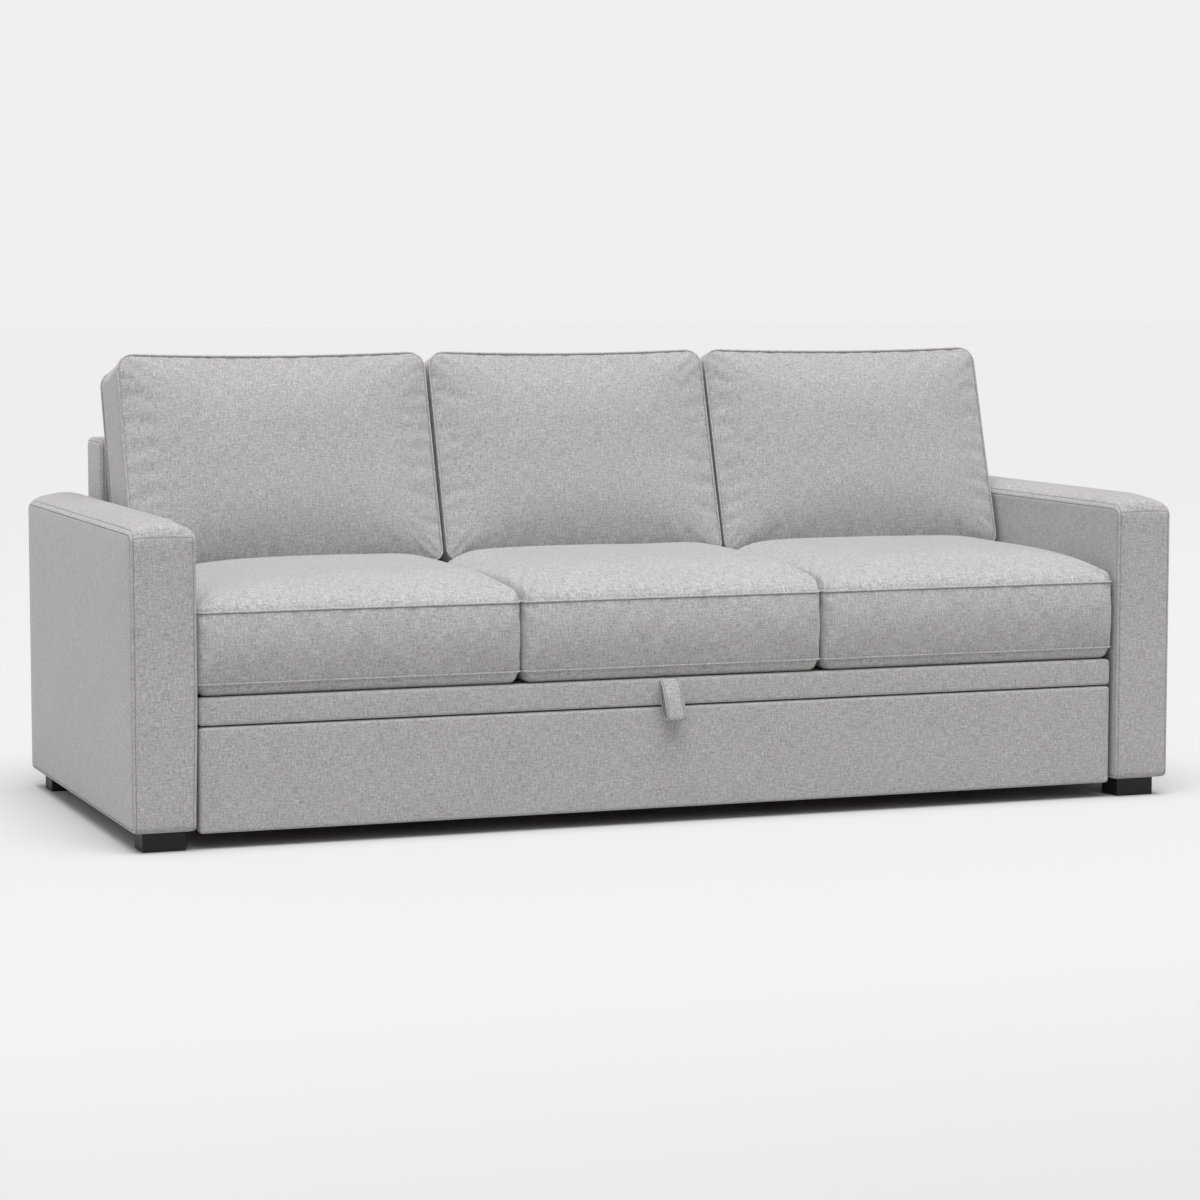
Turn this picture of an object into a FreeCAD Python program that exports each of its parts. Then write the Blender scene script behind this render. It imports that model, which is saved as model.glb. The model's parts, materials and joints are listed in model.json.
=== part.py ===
import FreeCAD, Part
import math
import os

# A three-seat sofa bed with box arms. The lower front panel and the rail above it draw forward and
# bring out a comb of slats, which runs between the fixed slats under the cushions. Legs stowed
# behind the panel fold down to carry the drawn-out front.
# Millimetres. +X is to the right seen from the front, +Y is to the rear, +Z is up.
# The origin is on the floor, at the middle of the overall box.

Vector = FreeCAD.Vector
X_AXIS = Vector(1, 0, 0)
Y_AXIS = Vector(0, 1, 0)
Z_AXIS = Vector(0, 0, 1)
ORIGIN = Vector(0, 0, 0)
LEFT = -1
RIGHT = 1

# Overall body
overall_width = 2200.0
body_depth = 965.0
arm_width = 123.0
arm_height = 621.0
arm_dome = 9.0
leg_height = 38.0

# Upholstery over the frames
cover_wall = 8.0
cover_edge_round = 12.0
cover_top_round = 22.0
cover_foot_round = 14.0

# Timber in the arms and the back
frame_board = 5.0
frame_post = 45.0
frame_foot_rail = 40.0
frame_top_rail = 28.0
arm_post_count = 3
back_post_count = 4

# Legs and their bolts
leg_width = 84.0
leg_depth = 66.0
leg_side_inset = 22.0
leg_front_inset = 22.5
leg_rear_inset = 37.5
leg_edge_round = 2.5
leg_bolt_radius = 4.0
leg_bolt_clearance = 0.4
leg_bolt_head_radius = 8.0
leg_bolt_head_height = 6.0
leg_recess_depth = 16.0
leg_recess_clearance = 2.0
leg_bolt_bite = 26.0
leg_bolt_tip_gap = 2.0

# Back panel between the arms
back_thickness = 137.0
back_height = 742.0
back_end_gap = 5.0
back_top_round = 15.0
back_end_round = 14.0

# Slatted deck
deck_height = 290.0
slat_thickness = 18.0
slat_width = 80.0
slat_edge_round = 3.0
slat_count = 19
deck_end_gap = 10.0
slat_sill_gap = 2.0

# Rails that carry the deck
side_rail_thickness = 27.0
side_rail_height = 100.0
side_rail_set_back = 50.0
side_rail_edge_round = 3.0
cross_rail_thickness = 25.0
front_cross_rail_height = 150.0
rear_cross_rail_height = 80.0
front_cross_rail_set_back = 125.0
glide_strip = 2.0

# Front panel and front rail, which draw out
front_set_back = 12.0
front_side_gap = 8.0
front_pad_depth = 30.0
front_pad_wall = 5.0
front_panel_bottom = 31.0
front_seam_height = 235.0
front_seam_gap = 3.0
front_edge_round = 6.0
front_rail_corner_round = 18.0
front_panel_corner_round = 8.0

# Frame of the drawn-out bed
sill_depth = 32.0
sill_height = 72.0
batten_depth = 25.0
batten_height = 40.0
batten_park_gap = 3.0
stop_block_depth = 25.0
stop_block_width = 60.0
stop_block_height = 36.0
stop_block_share = 0.62
run_gap = 0.3

# Runner channels and guide rollers
roller_radius = 12.0
roller_width = 11.0
roller_tread_round = 1.0
roller_pin_radius = 4.0
roller_bore_clearance = 0.05
roller_pin_head_radius = 7.0
roller_pin_head = 1.5
roller_side_gap = 0.4
roller_shoulder_radius = 6.5
roller_plate_thickness = 3.0
roller_plate_width = 22.0
roller_plate_height = 34.0
channel_wall = 2.0
channel_flange = 20.0
channel_mouth_gap = 1.0
channel_bend_round = 1.5

# Folding legs stowed under the sill
fold_leg_radius = 11.0
fold_leg_wall = 1.5
fold_leg_head = 6.0
fold_leg_turn_gap = 1.5
fold_pin_radius = 3.0
fold_pin_clearance = 0.05
fold_pin_head_radius = 5.0
fold_pin_head = 1.5
fold_bracket_length = 44.0
fold_bracket_wall = 2.0
fold_bracket_gap = 0.6
fold_bracket_end_radius = 10.0
fold_cap_wall = 2.0
fold_cap_floor = 4.0
fold_cap_length = 20.0
fold_cap_fit = 0.1
fold_place_shares = (-0.74, -0.1, 0.74)

# Blocks that brace the panel under the sill
corner_block_width = 60.0
corner_block_depth = 76.0
corner_block_slope = 50.0
corner_block_bottom = 70.0
corner_block_shares = (-0.9, -0.36, 0.36, 0.9)

# Pull strap on the front rail
strap_bulge = 17.5
strap_width = 41.0
strap_offset = -10.0
strap_thickness = 1.6
strap_bottom = 209.0
strap_rail_gap = 0.5
strap_drop_gap = 0.5
strap_fold_depth = 12.0
strap_fold_rise = 4.0

# Seat cushions
cushion_count = 3
seat_side_gap = 4.5
seat_gap = 4.0
seat_lower_seam = 316.0
seat_upper_seam = 451.0
seat_crown = 67.0
seat_width_shares = (0.334, 0.327, 0.339)
seat_corner_radius = 18.0
seat_side_draw_in = 1.0
seat_end_draw_in = 3.0
seat_side_bulge = 1.5
seat_front_bulge = 8.0
seat_deck_gap = 0.4
seat_rear_gap = 0.5
seat_dent_depth = 314.0
seat_dent_clearance = 0.3

# Back cushions
back_width_shares = (0.3415, 0.3215, 0.337)
back_side_gap = 5.0
back_gap = 12.0
back_lean = 17.4
back_cushion_height = 448.0
back_cushion_boxing = 160.0
back_front_crown = 38.0
back_rear_crown = 55.5
back_corner_radius = 28.0
back_side_draw_in = 1.0
back_end_draw_in = 7.0
back_side_bulge = 2.0
back_end_bulge = 5.0
back_stand_off = 155.0
back_rest_height = 470.0

# How a crown rises from its seam: the inset of each ring, and the rise it has reached there
crown_inset_shares = (0.0, 0.03, 0.08, 0.16, 0.28, 0.45, 0.68)
crown_rise_shares = (0.0, 0.16, 0.33, 0.53, 0.74, 0.91, 1.0)
seat_rise_shares = (0.0, 0.25, 0.46, 0.68, 0.86, 0.96, 1.0)
crown_rounding_share = 0.75
under_inset_shares = (0.0, 0.025, 0.08)
under_rise_shares = (0.0, 0.62, 1.0)

# Distances that serve every cut and every search for an edge
cut_overrun = 10.0
edge_search = 0.5

# Places that follow from the sizes above
half_width = overall_width / 2
inner_half = half_width - arm_width
front_y = strap_bulge - (body_depth + strap_bulge) / 2
rear_y = front_y + body_depth
back_front_y = rear_y - back_thickness
slat_underside = deck_height - slat_thickness
rail_inner = inner_half - side_rail_thickness
deck_half = rail_inner - deck_end_gap
slat_pitch = 2 * deck_half / slat_count
pad_front_y = front_y + front_set_back
pad_rear_y = pad_front_y + front_pad_depth
pad_half = inner_half - front_side_gap
sill_rear_y = pad_rear_y + sill_depth
sill_bottom = slat_underside - sill_height
cross_front_y = front_y + front_cross_rail_set_back
cross_rear_y = cross_front_y + cross_rail_thickness
rear_cross_front_y = back_front_y - cross_rail_thickness
batten_rear_y = rear_cross_front_y - batten_park_gap
batten_front_y = batten_rear_y - batten_depth
channel_mouth = rail_inner - channel_flange
roller_plate_face = channel_mouth - channel_mouth_gap
batten_half = roller_plate_face - roller_plate_thickness
roller_y = batten_front_y + batten_depth / 2
roller_height = slat_underside - batten_height / 2
fold_leg_y = pad_rear_y + sill_depth / 2
fold_pivot_height = (
    sill_bottom - fold_bracket_wall - fold_leg_turn_gap
    - math.hypot(fold_leg_radius, fold_leg_head))
seat_span = 2 * (inner_half - seat_side_gap)
back_span = 2 * (inner_half - back_side_gap)

os.makedirs("parts", exist_ok=True)


def save(name, shape):
    """Write one node: a solid, or a list of like solids that share the node."""
    if isinstance(shape, list):
        shape = Part.makeCompound(shape)
    shape.exportStep("parts/" + name + ".step")


def block(x_range, y_range, z_range):
    """A box between two places on each axis."""
    low = Vector(x_range[0], y_range[0], z_range[0])
    size = Vector(x_range[1], y_range[1], z_range[1]) - low
    return Part.makeBox(size.x, size.y, size.z, low)


def centred(middle, length):
    """The range of a given length about its middle."""
    return (middle - length / 2, middle + length / 2)


def on_side(shape, side):
    """A piece drawn for the right-hand side, mirrored where it is wanted on the left."""
    return shape if side == RIGHT else shape.mirror(ORIGIN, X_AXIS)


def fillet_where(solid, radius, wanted):
    """Round the edges whose middle and direction pass the test."""
    chosen = []
    for edge in solid.Edges:
        chord = edge.Vertexes[-1].Point - edge.Vertexes[0].Point
        if wanted(edge.CenterOfMass, chord):
            chosen.append(edge)
    return solid.makeFillet(radius, chosen)


def fillet_along(solid, radius, axis, wanted):
    """Round the straight edges parallel to an axis whose middle passes the test."""
    def runs(middle, chord):
        straight = chord.Length > edge_search and chord.cross(axis).Length < edge_search
        return straight and wanted(middle)
    return fillet_where(solid, radius, runs)


def near(value, place):
    return abs(value - place) < edge_search


def prism(outline, along):
    """Extrude the closed outline through the points."""
    return Part.Face(Part.makePolygon(outline + outline[:1])).extrude(along)


def rod(radius, start, end):
    """A round bar from one point to another."""
    return Part.makeCylinder(radius, (end - start).Length, start, end - start)


# Arms


def arm_cover():
    """The upholstered shell of the right arm, closed all round, with holes for the leg bolts."""
    end_height = arm_height - arm_dome
    inner_foot = Vector(inner_half, front_y, leg_height)
    inner_head = Vector(inner_half, front_y, end_height)
    crest = Vector((inner_half + half_width) / 2, front_y, arm_height)
    outer_head = Vector(half_width, front_y, end_height)
    outer_foot = Vector(half_width, front_y, leg_height)
    section = Part.Wire([
        Part.makeLine(inner_foot, inner_head),
        Part.Arc(inner_head, crest, outer_head).toShape(),
        Part.makeLine(outer_head, outer_foot),
        Part.makeLine(outer_foot, inner_foot),
    ])
    arm = Part.Face(section).extrude(Vector(0, body_depth, 0))
    ends = (front_y, rear_y)
    arm = fillet_where(
        arm, cover_top_round,
        lambda middle, chord: middle.z > end_height and any(near(middle.y, end) for end in ends))
    arm = fillet_along(arm, cover_foot_round, X_AXIS, lambda middle: near(middle.z, leg_height))
    arm = fillet_where(
        arm, cover_edge_round,
        lambda middle, chord: near(middle.x, inner_half) or near(middle.x, half_width))
    arm = arm.cut(block(*arm_hollow()))
    for y in leg_places():
        arm = arm.cut(rod(
            leg_bolt_radius + leg_bolt_clearance,
            Vector(leg_middle(), y, leg_height - cut_overrun),
            Vector(leg_middle(), y, leg_height + cut_overrun)))
    return arm


def arm_hollow():
    """The ranges on X, Y and Z of the space inside the arm's cover."""
    return (
        (inner_half + cover_wall, half_width - cover_wall),
        (front_y + cover_wall, rear_y - cover_wall),
        (leg_height + cover_wall, arm_height - arm_dome - cover_wall),
    )


def arm_boards():
    """The thin boards on the inner and outer sides of the arm's frame."""
    x_range, y_range, z_range = arm_hollow()
    inner = block((x_range[0], x_range[0] + frame_board), y_range, z_range)
    outer = block((x_range[1] - frame_board, x_range[1]), y_range, z_range)
    return [inner, outer]


def arm_rails():
    """The foot rail, bored for the leg bolts, and the top rail."""
    x_range, y_range, z_range = arm_hollow()
    between_boards = (x_range[0] + frame_board, x_range[1] - frame_board)
    foot = block(between_boards, y_range, (z_range[0], z_range[0] + frame_foot_rail))
    top = block(between_boards, y_range, (z_range[1] - frame_top_rail, z_range[1]))
    for y in leg_places():
        foot = foot.cut(rod(
            leg_bolt_radius + leg_bolt_clearance,
            Vector(leg_middle(), y, z_range[0] - cut_overrun),
            Vector(leg_middle(), y, leg_height + leg_bolt_bite + leg_bolt_tip_gap)))
    return [foot, top]


def arm_posts():
    """Posts that stand between the foot rail and the top rail."""
    x_range, y_range, z_range = arm_hollow()
    between_boards = (x_range[0] + frame_board, x_range[1] - frame_board)
    between_rails = (z_range[0] + frame_foot_rail, z_range[1] - frame_top_rail)
    spacing = (y_range[1] - y_range[0] - frame_post) / (arm_post_count - 1)
    posts = []
    for index in range(arm_post_count):
        start = y_range[0] + index * spacing
        posts.append(block(between_boards, (start, start + frame_post), between_rails))
    return posts


# Legs


def leg_middle():
    return half_width - leg_side_inset - leg_width / 2


def leg_places():
    """The front and rear legs' middles on Y."""
    return (
        front_y + leg_front_inset + leg_depth / 2,
        rear_y - leg_rear_inset - leg_depth / 2,
    )


def leg(y):
    """A square block under the right arm, with a stepped hole for its bolt."""
    solid = block(centred(leg_middle(), leg_width), centred(y, leg_depth), (0, leg_height))
    solid = fillet_along(solid, leg_edge_round, Z_AXIS, lambda middle: True)
    floor = Vector(leg_middle(), y, -cut_overrun)
    recess = rod(
        leg_bolt_head_radius + leg_recess_clearance, floor,
        Vector(leg_middle(), y, leg_recess_depth))
    hole = rod(
        leg_bolt_radius + leg_bolt_clearance, floor,
        Vector(leg_middle(), y, leg_height + cut_overrun))
    return solid.cut(recess).cut(hole)


def leg_bolt(y):
    """A bolt from the leg's recess up into the foot rail."""
    shoulder = Vector(leg_middle(), y, leg_recess_depth)
    head = rod(leg_bolt_head_radius, shoulder - Vector(0, 0, leg_bolt_head_height), shoulder)
    shank = rod(leg_bolt_radius, shoulder, Vector(leg_middle(), y, leg_height + leg_bolt_bite))
    return head.fuse(shank).removeSplitter()


# Back panel


def back_hollow():
    """The ranges on X, Y and Z of the space inside the back's cover."""
    half = inner_half - back_end_gap - cover_wall
    return (
        (-half, half),
        (back_front_y + cover_wall, rear_y - cover_wall),
        (leg_height + cover_wall, back_height - cover_wall),
    )


def back_cover():
    """The upholstered shell of the back, between the arms."""
    half = inner_half - back_end_gap
    back = block((-half, half), (back_front_y, rear_y), (leg_height, back_height))
    back = fillet_along(back, back_top_round, X_AXIS, lambda middle: near(middle.z, back_height))
    back = fillet_where(
        back, back_end_round, lambda middle, chord: near(abs(middle.x), half))
    return back.cut(block(*back_hollow()))


def back_boards():
    """The thin boards on the front and the rear of the back's frame."""
    x_range, y_range, z_range = back_hollow()
    front = block(x_range, (y_range[0], y_range[0] + frame_board), z_range)
    rear = block(x_range, (y_range[1] - frame_board, y_range[1]), z_range)
    return [front, rear]


def back_rails():
    """The foot rail and the top rail of the back's frame."""
    x_range, y_range, z_range = back_hollow()
    between_boards = (y_range[0] + frame_board, y_range[1] - frame_board)
    foot = block(x_range, between_boards, (z_range[0], z_range[0] + frame_foot_rail))
    top = block(x_range, between_boards, (z_range[1] - frame_top_rail, z_range[1]))
    return [foot, top]


def back_posts():
    """Posts that stand between the back's two rails."""
    x_range, y_range, z_range = back_hollow()
    between_boards = (y_range[0] + frame_board, y_range[1] - frame_board)
    between_rails = (z_range[0] + frame_foot_rail, z_range[1] - frame_top_rail)
    spacing = (x_range[1] - x_range[0] - frame_post) / (back_post_count - 1)
    posts = []
    for index in range(back_post_count):
        start = x_range[0] + index * spacing
        posts.append(block((start, start + frame_post), between_boards, between_rails))
    return posts


# Deck carriers


def side_rail():
    """The rail on the right arm's inner face that carries the runner channel."""
    rail = block(
        (rail_inner, inner_half), (front_y + side_rail_set_back, back_front_y),
        (deck_height - side_rail_height, deck_height))
    return fillet_along(
        rail, side_rail_edge_round, Y_AXIS, lambda middle: near(middle.x, rail_inner))


def cross_rail(start_y, height, top):
    """A rail from side rail to side rail, on edge under the fixed slats."""
    return block(
        (-rail_inner, rail_inner), (start_y, start_y + cross_rail_thickness), (top - height, top))


def glide(half_length, start_y, depth):
    """A smooth strip on top of a rail or a batten, which the slats slide on."""
    return block(
        (-half_length, half_length), (start_y, start_y + depth),
        (slat_underside - glide_strip, slat_underside))


def runner_channel():
    """The steel channel on the right side rail, open to the middle, that the guide roller runs in."""
    half_height = roller_radius + run_gap + channel_wall
    top = roller_height + half_height
    bottom = roller_height - half_height
    web_face = rail_inner - channel_wall
    start_y = cross_rear_y + run_gap
    outline = [
        Vector(rail_inner, start_y, bottom),
        Vector(rail_inner, start_y, top),
        Vector(channel_mouth, start_y, top),
        Vector(channel_mouth, start_y, top - channel_wall),
        Vector(web_face, start_y, top - channel_wall),
        Vector(web_face, start_y, bottom + channel_wall),
        Vector(channel_mouth, start_y, bottom + channel_wall),
        Vector(channel_mouth, start_y, bottom),
    ]
    channel = prism(outline, Vector(0, rear_cross_front_y - run_gap - start_y, 0))
    return fillet_along(
        channel, channel_bend_round, Y_AXIS, lambda middle: near(middle.x, rail_inner))


def slat(index, y_range):
    """One slat of the deck, counted from the left, with its upper edges eased."""
    middle = -deck_half + (index + 0.5) * slat_pitch
    bar = block(centred(middle, slat_width), y_range, (slat_underside, deck_height))
    return fillet_along(bar, slat_edge_round, Y_AXIS, lambda place: near(place.z, deck_height))


def fixed_slats():
    """Every other slat, from behind the sill to the back, on the two cross rails."""
    reach = (sill_rear_y + slat_sill_gap, back_front_y)
    return [slat(index, reach) for index in range(0, slat_count, 2)]


def moving_slats():
    """The slats between, from the front rail to the rear batten."""
    reach = (pad_rear_y, batten_rear_y)
    return [slat(index, reach) for index in range(1, slat_count, 2)]


def stop_block():
    """The right-hand block that the rear batten meets when the bed is fully out."""
    low = slat_underside - (batten_height + stop_block_height) / 2
    return block(
        centred(stop_block_share * deck_half, stop_block_width),
        (cross_rear_y, cross_rear_y + stop_block_depth - run_gap),
        (low, low + stop_block_height))


# Front panel, front rail and the bed frame behind them


def pad_body(z_range, inset, corner_round, edge_round):
    """A board-shaped body, its upper corners rounded, drawn in by the inset on every side."""
    low = z_range[0] + inset
    high = z_range[1] - inset
    half = pad_half - inset
    body = block((-half, half), (pad_front_y + inset, pad_rear_y - inset), (low, high))
    body = fillet_along(body, corner_round - inset, Y_AXIS, lambda middle: near(middle.z, high))
    if edge_round > 0:
        body = fillet_along(body, edge_round, Y_AXIS, lambda middle: near(middle.z, low))
        body = fillet_where(
            body, edge_round,
            lambda middle, chord: near(middle.y, pad_front_y) or near(middle.y, pad_rear_y))
    return body


def padded_board(z_range, corner_round):
    """The cover of a front board as a shell, and the board that fills it."""
    outer = pad_body(z_range, 0, corner_round, front_edge_round)
    board = pad_body(z_range, front_pad_wall, corner_round, 0)
    return outer.cut(board), board


def front_sill():
    """The bar behind the panel and the rail that carries the moving slats' front ends."""
    return block((-deck_half, deck_half), (pad_rear_y, sill_rear_y), (sill_bottom, slat_underside))


def rear_batten():
    """The bar under the moving slats' rear ends."""
    return block(
        (-batten_half, batten_half), (batten_front_y, batten_rear_y),
        (slat_underside - batten_height, slat_underside - glide_strip))


def corner_block(x):
    """A block that braces the panel under the sill, sloped at the rear."""
    rear = pad_rear_y + corner_block_depth
    left = x - corner_block_width / 2
    outline = [
        Vector(left, pad_rear_y, corner_block_bottom),
        Vector(left, rear, corner_block_bottom),
        Vector(left, rear, sill_bottom - corner_block_slope),
        Vector(left, sill_rear_y, sill_bottom),
        Vector(left, pad_rear_y, sill_bottom),
    ]
    return prism(outline, Vector(corner_block_width, 0, 0))


# Folding legs


def fold_side(share):
    """Which way a folding leg lies from its pivot when it is stowed: towards the middle."""
    return RIGHT if share < 0 else LEFT


def fold_bracket(x):
    """A steel saddle under the sill: a plate and two cheeks with the pivot's holes."""
    inner = fold_leg_radius + fold_bracket_gap
    outer = inner + fold_bracket_wall
    half = fold_bracket_length / 2
    plate_bottom = sill_bottom - fold_bracket_wall
    saddle = block((x - half, x + half), centred(fold_leg_y, 2 * outer), (plate_bottom, sill_bottom))
    for start in (fold_leg_y - outer, fold_leg_y + inner):
        outline = [
            Vector(x - half, start, plate_bottom),
            Vector(x + half, start, plate_bottom),
            Vector(x + fold_bracket_end_radius, start, fold_pivot_height),
            Vector(x - fold_bracket_end_radius, start, fold_pivot_height),
        ]
        pivot = Vector(x, start, fold_pivot_height)
        thickness = Vector(0, fold_bracket_wall, 0)
        cheek_end = rod(fold_bracket_end_radius, pivot, pivot + thickness)
        saddle = saddle.fuse(prism(outline, thickness)).fuse(cheek_end)
    hole = rod(
        fold_pin_radius + fold_pin_clearance,
        Vector(x, fold_leg_y - sill_depth, fold_pivot_height),
        Vector(x, fold_leg_y + sill_depth, fold_pivot_height))
    return saddle.removeSplitter().cut(hole)


def fold_pin(x):
    """The riveted pin through a saddle and its leg."""
    reach = fold_leg_radius + fold_bracket_gap + fold_bracket_wall
    middle = Vector(x, fold_leg_y, fold_pivot_height)
    pin = rod(fold_pin_radius, middle - Y_AXIS * reach, middle + Y_AXIS * reach)
    for side in (LEFT, RIGHT):
        face = middle + Y_AXIS * side * reach
        pin = pin.fuse(rod(fold_pin_head_radius, face, face + Y_AXIS * side * fold_pin_head))
    return pin.removeSplitter()


def fold_leg(x, side):
    """A steel tube, stowed level under the sill, bored across for its pin."""
    pivot = Vector(x, fold_leg_y, fold_pivot_height)
    along = X_AXIS * side
    head = pivot - along * fold_leg_head
    foot = pivot + along * (fold_pivot_height - fold_cap_floor)
    tube = rod(fold_leg_radius, head, foot)
    tube = tube.cut(rod(fold_leg_radius - fold_leg_wall, head, foot))
    across = Y_AXIS * (fold_leg_radius + cut_overrun)
    return tube.cut(rod(fold_pin_radius + fold_pin_clearance, pivot - across, pivot + across))


def fold_cap(x, side):
    """The soft cup on a folding leg's free end, which meets the floor when the leg is down."""
    along = X_AXIS * side
    end = Vector(x, fold_leg_y, fold_pivot_height) + along * fold_pivot_height
    rim = end - along * fold_cap_length
    cup = rod(fold_leg_radius + fold_cap_fit + fold_cap_wall, rim, end)
    bore = rod(fold_leg_radius + fold_cap_fit, rim, end - along * fold_cap_floor)
    return cup.cut(bore)


# Guide rollers


def turned(x, y, z, profile):
    """A solid of revolution about a line parallel to X, from pairs of place along it and radius."""
    points = [Vector(x + place, y, z + radius) for place, radius in profile]
    face = Part.Face(Part.makePolygon(points + points[:1]))
    return face.revolve(Vector(x, y, z), X_AXIS, 360)


def round_tread(wheel, radius, tread_round):
    """Ease the two outer rims of a wheel."""
    rims = []
    for edge in wheel.Edges:
        if hasattr(edge.Curve, "Radius") and near(edge.Curve.Radius, radius):
            rims.append(edge)
    return wheel.makeFillet(tread_round, rims)


def roller_faces():
    """The inner and outer faces of the right-hand roller on X."""
    outer = rail_inner - channel_wall - roller_pin_head - 2 * roller_side_gap
    return outer - roller_width, outer


def guide_roller():
    """The right-hand roller, bored for its pin."""
    inner, outer = roller_faces()
    bore = roller_pin_radius + roller_bore_clearance
    half = roller_width / 2
    profile = [(-half, bore), (half, bore), (half, roller_radius), (-half, roller_radius)]
    roller = turned((inner + outer) / 2, roller_y, roller_height, profile)
    return round_tread(roller, roller_radius, roller_tread_round)


def roller_bracket():
    """The plate on the rear batten's right end, with the shouldered pin that holds the roller."""
    inner, outer = roller_faces()
    plate = block(
        (batten_half, roller_plate_face), centred(roller_y, roller_plate_width),
        centred(roller_height, roller_plate_height))
    start = Vector(roller_plate_face, roller_y, roller_height)
    shoulder_end = Vector(inner - roller_side_gap, roller_y, roller_height)
    pin_end = Vector(outer + roller_side_gap, roller_y, roller_height)
    shoulder = rod(roller_shoulder_radius, start, shoulder_end)
    pin = rod(roller_pin_radius, shoulder_end, pin_end)
    head = rod(roller_pin_head_radius, pin_end, pin_end + X_AXIS * roller_pin_head)
    return plate.fuse(shoulder).fuse(pin).fuse(head).removeSplitter()


# Pull strap


def strap_outline(inset):
    """The closed outline of the loop seen from the side, drawn in by the inset."""
    x = strap_offset - strap_width / 2
    top = deck_height - strap_drop_gap - inset
    back = pad_front_y - strap_rail_gap - inset
    front = front_y - strap_bulge + inset
    bottom = strap_bottom + inset
    top_point = Vector(x, back, top - 2 * inset)
    low_back = Vector(x, back, bottom + strap_fold_rise)
    fold = Vector(x, back - strap_fold_depth / 2, bottom)
    low_front = Vector(x, back - strap_fold_depth + inset, bottom + strap_fold_rise)
    belly = Vector(x, front, (top + bottom) / 2)
    return Part.Wire([
        Part.makeLine(top_point, low_back),
        Part.Arc(low_back, fold, low_front).toShape(),
        Part.Arc(low_front, belly, top_point).toShape(),
    ])


def pull_strap():
    """A loop of webbing sewn in at the rail's upper edge, bellied forward."""
    width = Vector(strap_width, 0, 0)
    outer = Part.Face(strap_outline(0)).extrude(width)
    inner = Part.Face(strap_outline(strap_thickness)).extrude(width)
    return outer.cut(inner)


# Cushions


def ring(half_x, half_y, corner, draws, z):
    """A closed outline with rounded corners, its sides and ends bowed inwards by the two draws."""
    side_draw, end_draw = draws
    edges = []
    diagonal = corner * (1 - math.sqrt(0.5))
    for side_x, side_y in ((1, -1), (1, 1), (-1, 1), (-1, -1)):
        along_x = Vector(side_x * (half_x - corner), side_y * half_y, z)
        along_y = Vector(side_x * half_x, side_y * (half_y - corner), z)
        middle = Vector(side_x * (half_x - diagonal), side_y * (half_y - diagonal), z)
        first, last = (along_x, along_y) if side_x * side_y < 0 else (along_y, along_x)
        edges.append(Part.Arc(first, middle, last).toShape())
        if side_x * side_y < 0:
            waist = Vector(side_x * (half_x - side_draw), 0, z)
            side_end = Vector(side_x * half_x, side_y * (corner - half_y), z)
        else:
            waist = Vector(0, side_y * (half_y - end_draw), z)
            side_end = Vector(side_x * (corner - half_x), side_y * half_y, z)
        edges.append(Part.Arc(last, waist, side_end).toShape())
    return Part.Wire(edges)


def crowned(half_x, half_y, corner, draws, seam, crown, insets, rises):
    """The part of a cushion beyond one seam, rising to its crown through a few rings."""
    rings = []
    rounding = crown_rounding_share * min(half_x, half_y) - corner
    for inset, rise in zip(insets, rises):
        keep = 1 - inset
        ring_corner = (corner + rounding * math.sqrt(inset)) * keep
        ring_draws = [draw * keep for draw in draws]
        rings.append(ring(half_x * keep, half_y * keep, ring_corner, ring_draws, seam + crown * rise))
    return Part.makeLoft(rings, True, False)


def cushion_place(index, span, gap, width_shares):
    """Half the width of one cushion of a row, and where its middle stands on X."""
    room = span - (cushion_count - 1) * gap
    start = sum(width_shares[:index]) * room + index * gap - span / 2
    half_x = width_shares[index] * room / 2
    return half_x, start + half_x


def seat_cushion(index):
    """A boxed seat cushion with a high crown, pressed flat where the back cushion stands on it."""
    half_x, middle_x = cushion_place(index, seat_span, seat_gap, seat_width_shares)
    draws = (seat_side_draw_in, seat_end_draw_in)
    front_seam = front_y + seat_front_bulge
    rear_seam = back_front_y - seat_rear_gap - seat_front_bulge
    half_y = (rear_seam - front_seam) / 2
    boxing = ring_stack(
        half_x, half_y, seat_corner_radius, draws, seat_side_bulge, seat_front_bulge,
        seat_lower_seam, seat_upper_seam)
    top = crowned(
        half_x, half_y, seat_corner_radius, draws, seat_upper_seam, seat_crown,
        crown_inset_shares, seat_rise_shares)
    underside = deck_height + seat_deck_gap
    bottom = crowned(
        half_x, half_y, seat_corner_radius, draws, seat_lower_seam,
        underside - seat_lower_seam, under_inset_shares, under_rise_shares)
    cushion = boxing.fuse([top, bottom]).removeSplitter()
    cushion.translate(Vector(middle_x, (front_seam + rear_seam) / 2, 0))
    dent = block(
        centred(middle_x, seat_span), (back_front_y - seat_dent_depth, rear_y),
        (back_rest_height - seat_dent_clearance, back_height))
    return cushion.cut(dent)


def ring_stack(half_x, half_y, corner, draws, bulge_x, bulge_y, low, high):
    """The boxing of a cushion between its two seams, fuller at the middle."""
    rings = [
        ring(half_x, half_y, corner, draws, low),
        ring(half_x + bulge_x, half_y + bulge_y, corner, draws, (low + high) / 2),
        ring(half_x, half_y, corner, draws, high),
    ]
    return Part.makeLoft(rings, True, False)


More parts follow.
